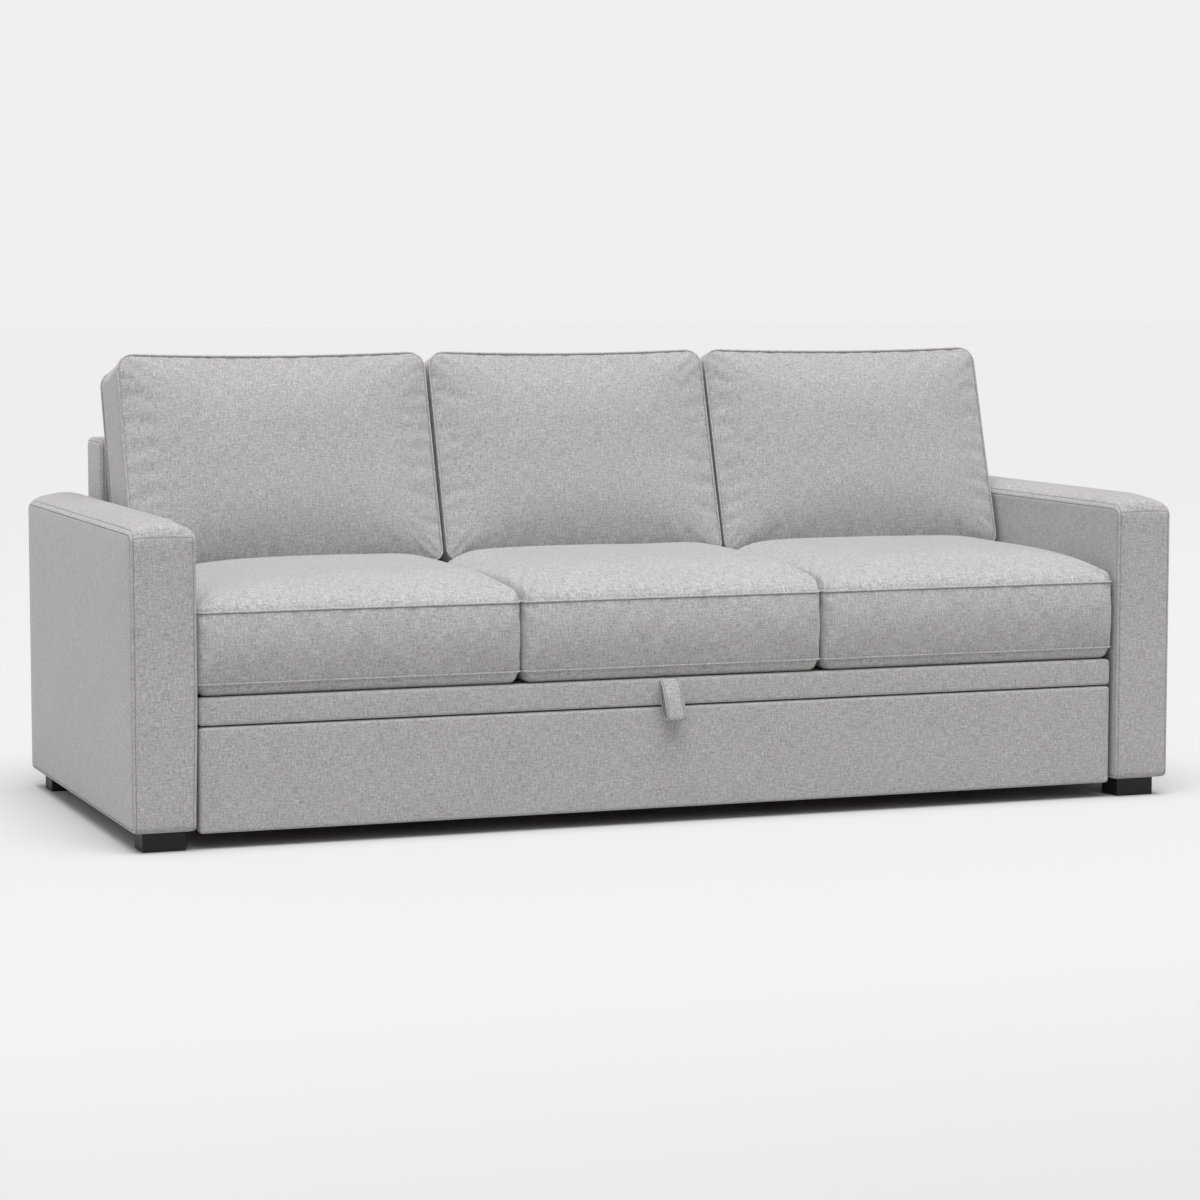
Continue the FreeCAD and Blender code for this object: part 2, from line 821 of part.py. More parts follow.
def back_cushion(index):
    """A boxed back cushion, leaning on the back panel, its foot flat on the seat cushion."""
    half_x, middle_x = cushion_place(index, back_span, back_gap, back_width_shares)
    draws = (back_side_draw_in, back_end_draw_in)
    half_y = back_cushion_height / 2
    half_boxing = back_cushion_boxing / 2
    boxing = ring_stack(
        half_x, half_y, back_corner_radius, draws, back_side_bulge, back_end_bulge,
        -half_boxing, half_boxing)
    front = crowned(
        half_x, half_y, back_corner_radius, draws, half_boxing, back_front_crown,
        crown_inset_shares, crown_rise_shares)
    rear = crowned(
        half_x, half_y, back_corner_radius, draws, -half_boxing, -back_rear_crown,
        crown_inset_shares, crown_rise_shares)
    cushion = boxing.fuse([front, rear]).removeSplitter()
    cushion.rotate(ORIGIN, X_AXIS, 90 - back_lean)
    middle_z = back_rest_height + half_y * math.cos(math.radians(back_lean))
    cushion.translate(Vector(middle_x, back_front_y - back_stand_off, middle_z))
    foot = block(
        centred(middle_x, back_span), (front_y, rear_y), (leg_height, back_rest_height))
    return cushion.cut(foot)


# The whole sofa bed

side_names = {LEFT: "left", RIGHT: "right"}
for side in (LEFT, RIGHT):
    name = side_names[side]
    save("arm_cover_" + name, on_side(arm_cover(), side))
    save("arm_boards_" + name, [on_side(board, side) for board in arm_boards()])
    save("arm_rails_" + name, [on_side(rail, side) for rail in arm_rails()])
    save("arm_posts_" + name, [on_side(post, side) for post in arm_posts()])
    save("front_leg_" + name, on_side(leg(leg_places()[0]), side))
    save("rear_leg_" + name, on_side(leg(leg_places()[1]), side))
    save("side_rail_" + name, on_side(side_rail(), side))
    save("runner_channel_" + name, on_side(runner_channel(), side))
    save("stop_block_" + name, on_side(stop_block(), side))
    save("guide_roller_" + name, on_side(guide_roller(), side))
    save("roller_bracket_" + name, on_side(roller_bracket(), side))

save("leg_bolts", [on_side(leg_bolt(y), side) for side in (LEFT, RIGHT) for y in leg_places()])

save("back_cover", back_cover())
save("back_boards", back_boards())
save("back_rails", back_rails())
save("back_posts", back_posts())

front_rail_top = slat_underside - glide_strip
save("front_cross_rail", cross_rail(cross_front_y, front_cross_rail_height, front_rail_top))
save("rear_cross_rail", cross_rail(rear_cross_front_y, rear_cross_rail_height, slat_underside))
save("front_glide_strip", glide(rail_inner, cross_front_y, cross_rail_thickness))
save("batten_glide_strip", glide(batten_half, batten_front_y, batten_depth))
save("fixed_slats", fixed_slats())
save("moving_slats", moving_slats())

panel_range = (front_panel_bottom, front_seam_height - front_seam_gap / 2)
panel_cover, panel_board = padded_board(panel_range, front_panel_corner_round)
save("front_panel_cover", panel_cover)
save("front_panel_board", panel_board)
rail_range = (front_seam_height + front_seam_gap / 2, deck_height)
rail_cover, rail_board = padded_board(rail_range, front_rail_corner_round)
save("front_rail_cover", rail_cover)
save("front_rail_board", rail_board)
save("front_sill", front_sill())
save("rear_batten", rear_batten())

for number, share in enumerate(corner_block_shares, 1):
    save("corner_block_" + str(number), corner_block(share * deck_half))

for share, place_name in zip(fold_place_shares, ("left", "centre", "right")):
    place = share * deck_half
    save("fold_bracket_" + place_name, fold_bracket(place))
    save("fold_leg_" + place_name, fold_leg(place, fold_side(share)))
    save("fold_cap_" + place_name, fold_cap(place, fold_side(share)))
save("fold_pins", [fold_pin(share * deck_half) for share in fold_place_shares])

save("pull_strap", pull_strap())

for index, place_name in enumerate(("left", "centre", "right")):
    save("seat_cushion_" + place_name, seat_cushion(index))
    save("back_cushion_" + place_name, back_cushion(index))
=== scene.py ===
import json
import math

import bmesh
import bpy
import numpy as np
from mathutils import Matrix, Vector, noise


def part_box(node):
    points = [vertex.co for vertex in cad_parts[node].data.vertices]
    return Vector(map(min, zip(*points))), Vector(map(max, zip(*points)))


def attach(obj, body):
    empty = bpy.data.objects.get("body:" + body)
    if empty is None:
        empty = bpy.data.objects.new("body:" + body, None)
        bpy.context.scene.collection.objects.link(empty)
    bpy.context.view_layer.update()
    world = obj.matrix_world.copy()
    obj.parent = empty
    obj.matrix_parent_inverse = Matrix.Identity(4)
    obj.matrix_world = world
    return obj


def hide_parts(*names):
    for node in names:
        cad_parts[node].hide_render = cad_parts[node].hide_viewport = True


bl_info = {
    "name": "Sofa bed dresser",
    "version": (1, 0, 0),
    "blender": (4, 5, 0),
    "location": "3D View > Sidebar > Sofa bed",
    "description": "Dresses the sofa bed's frame with cloth covers, cushions, trim and finishes",
    "category": "Object",
}

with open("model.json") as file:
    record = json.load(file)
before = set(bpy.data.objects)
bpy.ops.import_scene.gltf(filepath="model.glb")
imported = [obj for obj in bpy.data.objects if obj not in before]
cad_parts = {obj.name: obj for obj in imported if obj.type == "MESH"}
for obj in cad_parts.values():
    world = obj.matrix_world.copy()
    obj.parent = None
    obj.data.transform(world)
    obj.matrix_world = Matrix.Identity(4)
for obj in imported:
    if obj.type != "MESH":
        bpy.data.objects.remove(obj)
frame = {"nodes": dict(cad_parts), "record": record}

DECK = 0.290
SEAT_LOW_SEAM = 0.316
SEAT_HIGH_SEAM = 0.451
SEAT_TOP = 0.518
BACK_FOOT = 0.470
BACK_LEAN = math.radians(17.4)
BACK_HALF_HEIGHT = 0.224
BACK_HALF_BOX = 0.080
BACK_CROWN = 0.038
BACK_BELLY = 0.0555
SLATS = 19

# From the back panel to the middle of the back cushions
BACK_OUT = 0.155

# How near the cushions come to the back panel, the deck and the seat
BACK_FACE = 0.3538
SEAT_REST = 0.29035
BACK_REST = 0.4702
# How far the swollen sides of a cushion may pass its seams
SEAT_ROOM = 0.0016
BACK_ROOM = 0.0021
# Heights of the folds at a cushion's seams and of the uneven filling
PUCKER = 0.0019
UNEVENNESS = 0.0028

# Half-width of the groove along a stitch line, and the step between the rings that model it
GROOVE_HALF = 0.0007
GROOVE_STEP = 0.0009
# Height of the cord in a welt in groove depths, and the share of the welt that it fills
CORD_HEIGHT = 1.7
CORD_SHARE = 0.75
# How much of a length runs along each thread in cloth cut at 45 degrees
BIAS = 0.7071

NAMES = ("left", "centre", "right")
# For each row of cushions: the cloth's tone, the piping's painted shade, and the fill. The back
# row's lower tone is painted shade: the same cloth, darkened for the shade that falls on the back
# cushions.
ROWS = {"seat": (1.0, 0.14, 0.9), "back": (0.96, 0.30, 0.8)}
# Painted shade along the cushions' seams, next to the piping
CUSHION_SEAM_PAINTED_SHADE = 0.12
CORNER_STEPS = 8
CORD_SIDES = 14


def length(name, description, low, high, default, precision=4):
    """A setting for a length in metres."""
    return bpy.props.FloatProperty(
        name=name, description=description, unit="LENGTH", min=low, max=high, default=default,
        precision=precision)


def tint(name, description, *channels):
    """A setting for a colour, from three channels or from one grey."""
    return bpy.props.FloatVectorProperty(
        name=name, description=description, subtype="COLOR", size=3, min=0, max=1,
        default=channels * (3 // len(channels)))


class ClothSettings(bpy.types.PropertyGroup):
    """The heathered plain weave of the covers and cushions."""

    dark_thread: tint("Dark thread", "Colour of the darkest threads", 0.330, 0.322, 0.327)
    body_thread: tint("Body thread", "Colour of most of the threads", 0.508, 0.496, 0.502)
    light_thread: tint("Light thread", "Colour of the palest threads", 0.686, 0.674, 0.680)
    thread_pitch: length(
        "Thread pitch", "Distance from thread to thread", 0.0005, 0.004, 0.0012, 5)
    # Painted shade: the cloth's colour is darkened towards dark grey along seams, grooves and the
    # sides of the piping, standing in for the shade that falls there
    seam_painted_shade: bpy.props.FloatProperty(
        name="Seam shade", description="How much a seam's fold darkens the cloth",
        subtype="FACTOR", min=0, max=1, default=0.45)


class CushionSettings(bpy.types.PropertyGroup):
    """How the cushions are meshed, filled and piped."""

    spacing: length(
        "Mesh spacing", "Edge length before the last subdivision", 0.005, 0.03, 0.009)
    pressure: bpy.props.FloatProperty(
        name="Filling pressure", description="Pressure of the filling in the cloth simulation",
        min=0, max=20, default=4.0)
    slack: bpy.props.FloatProperty(
        name="Slack at the seams", description="Spare cloth gathered along each seam",
        subtype="FACTOR", min=0, max=0.2, default=0.03)
    cap: length("Swelling cap", "Most that a point may move in the simulation", 0, 0.05, 0.013)
    frames: bpy.props.IntProperty(
        name="Frames", description="Length of the simulation", min=1, max=60, default=20)
    seat_piping: length(
        "Seat piping radius", "Radius of the seat cushions' piping", 0.001, 0.006, 0.0018)
    back_piping: length(
        "Back piping radius", "Radius of the back cushions' piping", 0.001, 0.006, 0.0026)


class TrimSettings(bpy.types.PropertyGroup):
    """Welts and stitches on the covers."""

    edge_round: length(
        "Edge round", "Radius over the long edges of the covers", 0.004, 0.02, 0.011)
    welt_half: length(
        "Half welt", "Distance from the middle of a welt to its stitch line", 0.002, 0.01, 0.0041)
    groove: length("Groove depth", "How deep a stitch line pulls the cloth in", 0, 0.004, 0.0009)
    stitch_spacing: length(
        "Stitch spacing", "Distance from stitch to stitch", 0.002, 0.02, 0.0050)
    stitch_length: length("Stitch length", "Visible length of one stitch", 0.001, 0.02, 0.0036)
    stitch_radius: length(
        "Thread radius", "Radius of the sewing thread", 0.0001, 0.002, 0.00036, 5)


class StageSettings(bpy.types.PropertyGroup):
    """Camera, floor and light."""

    camera_place: bpy.props.FloatVectorProperty(
        name="Camera place", description="Where the camera stands", subtype="TRANSLATION",
        unit="LENGTH", size=3, default=(-2.5533, -6.88325, 1.092))
    camera_turn: bpy.props.FloatProperty(
        name="Camera turn", description="Turn to the right of straight ahead",
        subtype="ANGLE", default=0.3565)
    camera_dip: bpy.props.FloatProperty(
        name="Camera dip", description="Tilt below the horizon", subtype="ANGLE",
        default=0.0934)
    lens: bpy.props.FloatProperty(
        name="Lens", description="Focal length on a sensor 36 mm wide", min=10, max=300,
        default=105.32)
    sky: bpy.props.FloatProperty(
        name="Sky strength", description="Strength of the light from all round",
        min=0, max=5, default=0.44)
    sun: bpy.props.FloatProperty(
        name="Overhead strength", description="Strength of the soft light from above",
        min=0, max=10, default=2.50)
    # Painted light: the floor is painted lighter near the sofa and darker nearest the camera, for
    # the way the light falls on it; far away it is painted to meet the backdrop
    floor_colour: tint("Floor colour", "Colour of the floor near the sofa", 0.752)
    floor_front: tint("Front floor colour", "Colour of the floor nearest the camera", 0.686)
    floor_bounce: tint("Floor bounce", "Colour of the light that the floor throws back", 0.48)
    floor_far: tint("Far floor colour", "Colour of the floor where it meets the backdrop", 0.719)
    backdrop: tint("Backdrop colour", "Colour that the camera sees past the floor", 0.865)


# Node trees


class Nodes:
    """Adds linked nodes to a tree. Values are pairs: an input, and its value or its source."""

    def __init__(self, tree):
        self.tree = tree

    def feed(self, node, *values):
        for key, value in values:
            if isinstance(value, bpy.types.NodeSocket):
                self.tree.links.new(value, node.inputs[key])
            else:
                node.inputs[key].default_value = value

    def add(self, kind, *values, **settings):
        node = self.tree.nodes.new(kind)
        for key, value in settings.items():
            setattr(node, key, value)
        self.feed(node, *values)
        return node

    def out(self, kind, *values, **settings):
        """The first output of a new node."""
        return self.add(kind, *values, **settings).outputs[0]

    def maths(self, operation, *values):
        return self.out("ShaderNodeMath", *enumerate(values), operation=operation)

    def vectors(self, operation, *values):
        return self.out("ShaderNodeVectorMath", *enumerate(values), operation=operation)

    def streaks(self, vector, scale, detail=2.0):
        """Noise stretched along an axis by the scale vector."""
        stretched = self.vectors("MULTIPLY", vector, scale)
        return self.out("ShaderNodeTexNoise", (0, stretched), ("Scale", 1.0), ("Detail", detail))

    def ramp(self, factor, *stops):
        """Colours between the stops."""
        node = self.add("ShaderNodeValToRGB", (0, factor))
        elements = node.color_ramp.elements
        while len(elements) < len(stops):
            elements.new(0.5)
        for element, (place, colour) in zip(elements, stops):
            element.position = place
            element.color = (*colour, 1)
        return node.outputs[0]


class Surface(Nodes):
    """A new material with its Principled shader."""

    def __init__(self, name, roughness, **inputs):
        self.material = bpy.data.materials.new(name)
        self.material.use_nodes = True
        super().__init__(self.material.node_tree)
        self.shader = self.tree.nodes["Principled BSDF"]
        self.shade(Roughness=roughness, **inputs)

    def shade(self, **inputs):
        """Feed the shader's inputs, named with underscores for their spaces."""
        self.feed(self.shader, *((key.replace("_", " "), value) for key, value in inputs.items()))

    def bump(self, height, distance, strength, *under):
        """Bend the surface by a height, on top of an earlier bump if there is one."""
        bent = self.out(
            "ShaderNodeBump", ("Height", height), ("Distance", distance), ("Strength", strength),
            *(("Normal", normal) for normal in under))
        self.shade(Normal=bent)
        return bent


def cloth_material(name, cloth, tone=1.0, pitch_share=1.0, shade=None):
    """Plain weave: warp and weft by turns on top, slubs, uneven dye, and painted shade in the
    seams.
    """
    new = Surface(name, 0.92, Sheen_Weight=0.50, Sheen_Roughness=0.50, Specular_IOR_Level=0.22)
    cut = new.out("ShaderNodeUVMap", uv_map="cloth")
    pitch = cloth.thread_pitch * pitch_share

    def crossed(across, along):
        """Streaks both ways, given as how many a metre holds across and along them."""
        return new.maths("ADD", new.streaks(cut, (across, along, 1.0)),
                         new.streaks(cut, (along, across, 1.0)))

    mixed = crossed(0.85 / pitch, 150.0)
    slubs = crossed(500.0, 42.0)
    flecks = new.streaks(cut, (400.0, 400.0, 1.0))
    dye = new.streaks(cut, (7.0, 7.0, 1.0))
    for layer, weight in ((slubs, 0.80), (flecks, 0.12), (dye, 0.12)):
        mixed = new.maths("MULTIPLY_ADD", layer, weight, mixed)
    level = new.out("ShaderNodeMapRange", (0, mixed), ("From Min", 1.57), ("From Max", 2.27))
    dark, body, light = (
        tuple(channel * tone for channel in colour)
        for colour in (cloth.dark_thread, cloth.body_thread, cloth.light_thread))
    colour = new.ramp(level, (0.0, dark), (0.5, body), (1.0, light))
    # Painted shade: the 'seam' attribute darkens the colour towards dark grey where shade falls in
    # seams and grooves
    seam = new.add("ShaderNodeAttribute", attribute_name="seam").outputs["Fac"]
    share = new.maths("MULTIPLY", seam, cloth.seam_painted_shade if shade is None else shade)
    fold = new.add(
        "ShaderNodeMix", (0, share), (6, colour), (7, (0.12, 0.12, 0.12, 1)),
        data_type="RGBA", blend_type="MULTIPLY")
    new.shade(Base_Color=fold.outputs[2])

    split = new.add("ShaderNodeSeparateXYZ", (0, cut)).outputs
    waves = [
        new.maths("SINE", new.maths("MULTIPLY", new.maths("DIVIDE", split[axis], pitch), math.pi))
        for axis in (0, 1)]
    weave = new.maths("MULTIPLY_ADD", mixed, 1.3, new.maths("MULTIPLY", *waves))
    fine = new.bump(weave, 0.00016, 0.7)
    new.bump(new.streaks(cut, (9.0, 9.0, 1.0), 1.0), 0.0035, 0.35, fine)
    return new.material


def wood_material(name, along, pale, dark, roughness=0.62):
    """Planed softwood with its grain along one axis, each board a little different."""
    new = Surface(name, roughness)
    place = new.add("ShaderNodeTexCoord").outputs["Object"]
    warp = new.streaks(place, (3.0, 3.0, 3.0))
    bent = new.vectors("MULTIPLY_ADD", place, (0.02, 0.02, 0.02), warp)
    shaped = new.vectors("MULTIPLY", place, tuple(1.6 if axis == along else 26.0 for axis in "XYZ"))
    rings = new.out(
        "ShaderNodeTexNoise", (0, new.vectors("ADD", shaped, bent)),
        ("Scale", 1.0), ("Detail", 5.0), ("Distortion", 0.5))
    lines = new.maths("FRACT", new.maths("MULTIPLY", rings, 7.0))
    fibre = new.streaks(place, tuple(9.0 if axis == along else 700.0 for axis in "XYZ"))
    level = new.maths("MULTIPLY_ADD", fibre, 0.45, new.maths("MULTIPLY", lines, 0.55))
    between = tuple((a + b) / 2 for a, b in zip(pale, dark))
    new.shade(Base_Color=new.ramp(level, (0.12, dark), (0.45, between), (0.85, pale)))
    new.bump(fibre, 0.0003, 0.5)
    return new.material


def plain_material(name, colour, roughness, metallic, grain, depth, spread):
    """A painted, metal or moulded finish with a fine surface and slight wear in its tone."""
    new = Surface(name, roughness, Metallic=metallic)
    place = new.add("ShaderNodeTexCoord").outputs["Object"]
    fine = new.streaks(place, (grain, grain, grain), 3.0)
    broad = new.streaks(place, (14.0, 14.0, 14.0), 4.0)
    tone = new.maths("MULTIPLY_ADD", fine, 0.4, new.maths("MULTIPLY", broad, 0.6))
    polish = new.out(
        "ShaderNodeMapRange", (0, broad), ("From Min", 0.25), ("From Max", 0.75),
        ("To Min", roughness * 0.85), ("To Max", min(1.0, roughness * 1.15)))
    shades = new.ramp(
        tone, (0.25, tuple(channel * (1 - spread) for channel in colour)),
        (0.75, tuple(min(1.0, channel * (1 + spread)) for channel in colour)))
    new.shade(Base_Color=shades, Roughness=polish)
    new.bump(fine, depth, 0.5)
    return new.material


def material(name, maker, *args):
    """The material of that name, made once."""
    return bpy.data.materials.get(name) or maker(name, *args)


# Mesh building


def eased(share):
    """The share between 0 and 1 with a soft start and end."""
    share = max(0.0, min(1.0, share))
    return share * share * (3 - 2 * share)


def distances(points, closed=False):
    """How far along the points each one lies, and at the end the whole way if they close."""
    found = [0.0]
    for here, there in zip(points, [*points[1:], *points[:1]] if closed else points[1:]):
        found.append(found[-1] + math.dist(here, there))
    return found


def bands(rows, count):
    """The faces between closed rows of points: each one's row, column and corners."""
    for row in range(rows - 1):
        here, there = row * count, (row + 1) * count
        for column in range(count):
            following = (column + 1) % count
            yield row, column, (
                here + column, here + following, there + following, there + column)


def both_ways(*steps):
    """The steps on both sides of zero, in order, with zero."""
    return [-step for step in reversed(steps)] + [0.0, *steps]


def placed(name, data):
    """A new object in the scene."""
    made = bpy.data.objects.new(name, data)
    bpy.context.scene.collection.objects.link(made)
    return made


def link_mesh(name, mesh, body, finish, smooth=True):
    """A new piece on a body, with its finish."""
    piece = placed(name, mesh)
    mesh.materials.clear()
    mesh.materials.append(finish)
    if smooth:
        mesh.shade_smooth()
    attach(piece, body)
    return piece


def mesh_from(name, points, faces, cuts, seams):
    """A mesh with its cloth coordinates by face corner and its painted seam shade by point."""
    mesh = bpy.data.meshes.new(name)
    mesh.from_pydata([tuple(point) for point in points], [], faces)
    layer = mesh.uv_layers.new(name="cloth")
    layer.data.foreach_set("uv", [value for face in cuts for corner in face for value in corner])
    shade = mesh.attributes.new("seam", "FLOAT", "POINT")
    shade.data.foreach_set("value", seams)
    mesh.update()
    return mesh


def from_modifiers(holder):
    """The mesh that an object's modifiers make. The object is removed."""
    graph = bpy.context.evaluated_depsgraph_get()
    made = bpy.data.meshes.new_from_object(holder.evaluated_get(graph))
    bpy.data.objects.remove(holder)
    return made


def tidy(mesh):
    """Merge the points that coincide and turn every face outwards."""
    work = bmesh.new()
    work.from_mesh(mesh)
    bmesh.ops.remove_doubles(work, verts=work.verts, dist=1e-6)
    bmesh.ops.dissolve_degenerate(work, edges=work.edges, dist=1e-6)
    bmesh.ops.recalc_face_normals(work, faces=work.faces)
    if work.calc_volume(signed=True) < 0:
        bmesh.ops.reverse_faces(work, faces=work.faces)
    work.to_mesh(mesh)
    work.free()
    mesh.update()
    return mesh


class Outline:
    """A rounded rectangle, sampled the same way at every inset. 'extra' adds corner shares."""

    def __init__(self, low, high, radii, step=0.014, extra=()):
        self.low, self.high, self.radii = low, high, radii
        even = {index / CORNER_STEPS for index in range(CORNER_STEPS + 1)}
        self.corner_shares = [
            sorted(even | {share for at, share in extra if at == corner}) for corner in range(4)]
        counts = [max(2, round((high[axis] - low[axis]) / step)) for axis in (0, 1)] * 2
        self.side_shares = [[index / count for index in range(1, count)] for count in counts]

    def loop(self, inset):
        """Points and outward directions, anticlockwise from the low corner."""
        low = [value + inset for value in self.low]
        high = [value - inset for value in self.high]
        arcs = []
        for index, (x, y, turn_x, turn_y) in enumerate((
                (low[0], low[1], 1, 1), (high[0], low[1], -1, 1),
                (high[0], high[1], -1, -1), (low[0], high[1], 1, -1))):
            radius = max(self.radii[index] - inset, 0.0)
            centre = (x + turn_x * radius, y + turn_y * radius)
            start = math.pi + index * math.pi / 2
            arc = []
            for share in self.corner_shares[index]:
                angle = start + share * math.pi / 2
                way = (math.cos(angle), math.sin(angle))
                arc.append(((centre[0] + radius * way[0], centre[1] + radius * way[1]), way))
            arcs.append(arc)
        points = []
        for index, arc in enumerate(arcs):
            start, finish = arc[-1][0], arcs[(index + 1) % 4][0][0]
            angle = math.pi * 1.5 + index * math.pi / 2
            way = (math.cos(angle), math.sin(angle))
            points += arc
            for share in self.side_shares[index]:
                points.append((tuple(a + (b - a) * share for a, b in zip(start, finish)), way))
        return points


def edge_rings(face, into, radius, welt=0.0, groove=0.0):
    """Cross-section over one long edge, from the end face onto the sides.

    Gives place along the sleeve, inset and painted seam shade, which darkens the colour in the
    stitch lines' grooves for the shade that falls there. The end face is at 'face', and 'into' is
    +1 or -1 towards the sleeve's middle. A welt half-width of zero leaves the edge plain."""
    rings = []
    half = radius * math.pi / 4
    marks = [half * share for share in both_ways(0.25, 0.5, 0.75, 1.0)]
    if welt:
        marks += [side * (welt + shift * GROOVE_STEP)
                  for side in (-1, 1) for shift in both_ways(0.45, 0.9, 1.6)]
    for mark in sorted(marks):
        beyond = max(0.0, abs(mark) - half)
        angle = math.pi / 4 - mark / radius
        if beyond:
            angle = math.pi / 2 if mark < 0 else 0.0
        push = shade = 0.0
        if welt:
            # Painted shade in the groove along each stitch line
            shade = math.exp(-((abs(mark) - welt) / GROOVE_HALF) ** 2)
            cord = math.exp(-(mark / (welt * CORD_SHARE)) ** 4)
            push = cord * groove * CORD_HEIGHT - shade * groove
        place = radius - radius * math.sin(angle) - push * math.sin(angle)
        inset = radius - radius * math.cos(angle) - push * math.cos(angle)
        if mark < 0:
            inset += beyond
        else:
            place += beyond
        rings.append((face + into * place, inset, shade))
    return rings


def stitch_line(edge, into, radius, mark, sunk):
    """Place along the sleeve and inset of a line of stitches, sunk a little into the cloth."""
    angle = math.pi / 4 - mark / radius
    reach = radius - sunk
    return edge + into * (radius - reach * math.sin(angle)), radius - reach * math.cos(angle)


def sleeve(name, outline, rings, place, puff=0.0, dips=()):
    """A closed cover: the outline carried through the rings, and both ends filled in.

    'place' turns (a, b, along) into a point. 'puff' swells the first end face outwards. 'dips' are
    seams across the sides: a point on the outline, the groove's half-width and its depth."""
    reach = min(outline.high[axis] - outline.low[axis] for axis in (0, 1)) / 2
    edge_inset = rings[0][1]
    insets = [share for share in (0.02, 0.035, 0.055, 0.085, 0.13, 0.19, 0.25)
              if edge_inset + 0.004 < share < reach - 0.01]
    insets.append(reach - 0.006)
    first, last_face = rings[0][0], rings[-1][0]
    puff = math.copysign(puff, first - last_face)
    every = [(first + puff * (1 - math.exp((edge_inset - inset) / 0.03)), inset, 0.0)
             for inset in reversed(insets)]
    gusset = range(len(every), len(every) + len(rings) - 1)
    every += rings + [(last_face, inset, 0.0) for inset in insets]

    base = [point for point, way in outline.loop(0.0)]
    count = len(base)
    arc = distances(base, closed=True)
    cross = distances([ring[:2] for ring in every])

    points, seams, flats = [], [], []
    for number, (along, inset, shade) in enumerate(every):
        for (a, b), way in outline.loop(inset):
            groove = 0.0
            if number in gusset:
                groove = sum(
                    depth * math.exp(-(math.dist((a, b), middle) / width) ** 2)
                    for middle, width, depth in dips)
            points.append(place(a - way[0] * groove, b - way[1] * groove, along))
            # Painted shade in the grooves of the welts and of the seams across the sides
            seams.append(min(1.0, shade + groove / 0.001))
            flats.append((a, b))

    faces, cuts = [], []
    for ring, index, face in bands(len(every), count):
        faces.append(face)
        if ring in gusset:
            cuts.append((
                (cross[ring], arc[index]), (cross[ring], arc[index + 1]),
                (cross[ring + 1], arc[index + 1]), (cross[ring + 1], arc[index])))
        else:
            cuts.append(tuple(flats[corner] for corner in face))
    last = (len(every) - 1) * count
    for face in (tuple(range(count - 1, -1, -1)), tuple(range(last, last + count))):
        faces.append(face)
        cuts.append(tuple(flats[corner] for corner in face))
    return tidy(mesh_from(name, points, faces, cuts, seams))


def tube(name, path, radius, limit, outwards):
    """A closed round cord of cloth along the points, with bias-cut cloth coordinates.

    'limit' says where a point may end up. 'outwards' gives each point's open side: away from it the
    cord's colour gets painted shade, darker where it meets the cloth beside it."""
    count = len(path)
    points, faces, cuts, seams = [], [], [], []
    ways = [(path[(index + 1) % count] - path[index - 1]).normalized() for index in range(count)]
    side = ways[0].orthogonal().normalized()
    runs = distances(path, closed=True)
    for point, way, open_side in zip(path, ways, outwards):
        side = (side - way * side.dot(way)).normalized()
        other = way.cross(side)
        for step in range(CORD_SIDES):
            angle = 2 * math.pi * step / CORD_SIDES
            out = side * math.cos(angle) + other * math.sin(angle)
            points.append(limit(point + out * radius))
            # Painted shade: darker along the sides of the cord, where it meets the cushion's cloth
            seams.append((1 - max(0.0, out.dot(open_side))) ** 1.4)
    # The rings turn a little on their way round, so the last meets the first with least twist
    start, end = points[:CORD_SIDES], points[-CORD_SIDES:]
    twist = min(range(CORD_SIDES), key=lambda shift: sum(
        (start[(step + shift) % CORD_SIDES] - end[step]).length for step in range(CORD_SIDES)))
    for index in range(count):
        row, next_row = index * CORD_SIDES, ((index + 1) % count) * CORD_SIDES
        turn = 0 if next_row else twist
        for step in range(CORD_SIDES):
            following = (step + 1) % CORD_SIDES
            faces.append((
                row + step, row + following, next_row + (following + turn) % CORD_SIDES,
                next_row + (step + turn) % CORD_SIDES))
            near, far = (2 * math.pi * radius * value / CORD_SIDES for value in (step, step + 1))
            cuts.append(tuple(
                ((along + around) * BIAS, (along - around) * BIAS)
                for along, around in (
                    (runs[index], near), (runs[index], far),
                    (runs[index + 1], far), (runs[index + 1], near))))
    return tidy(mesh_from(name, points, faces, cuts, seams))


# Cushions


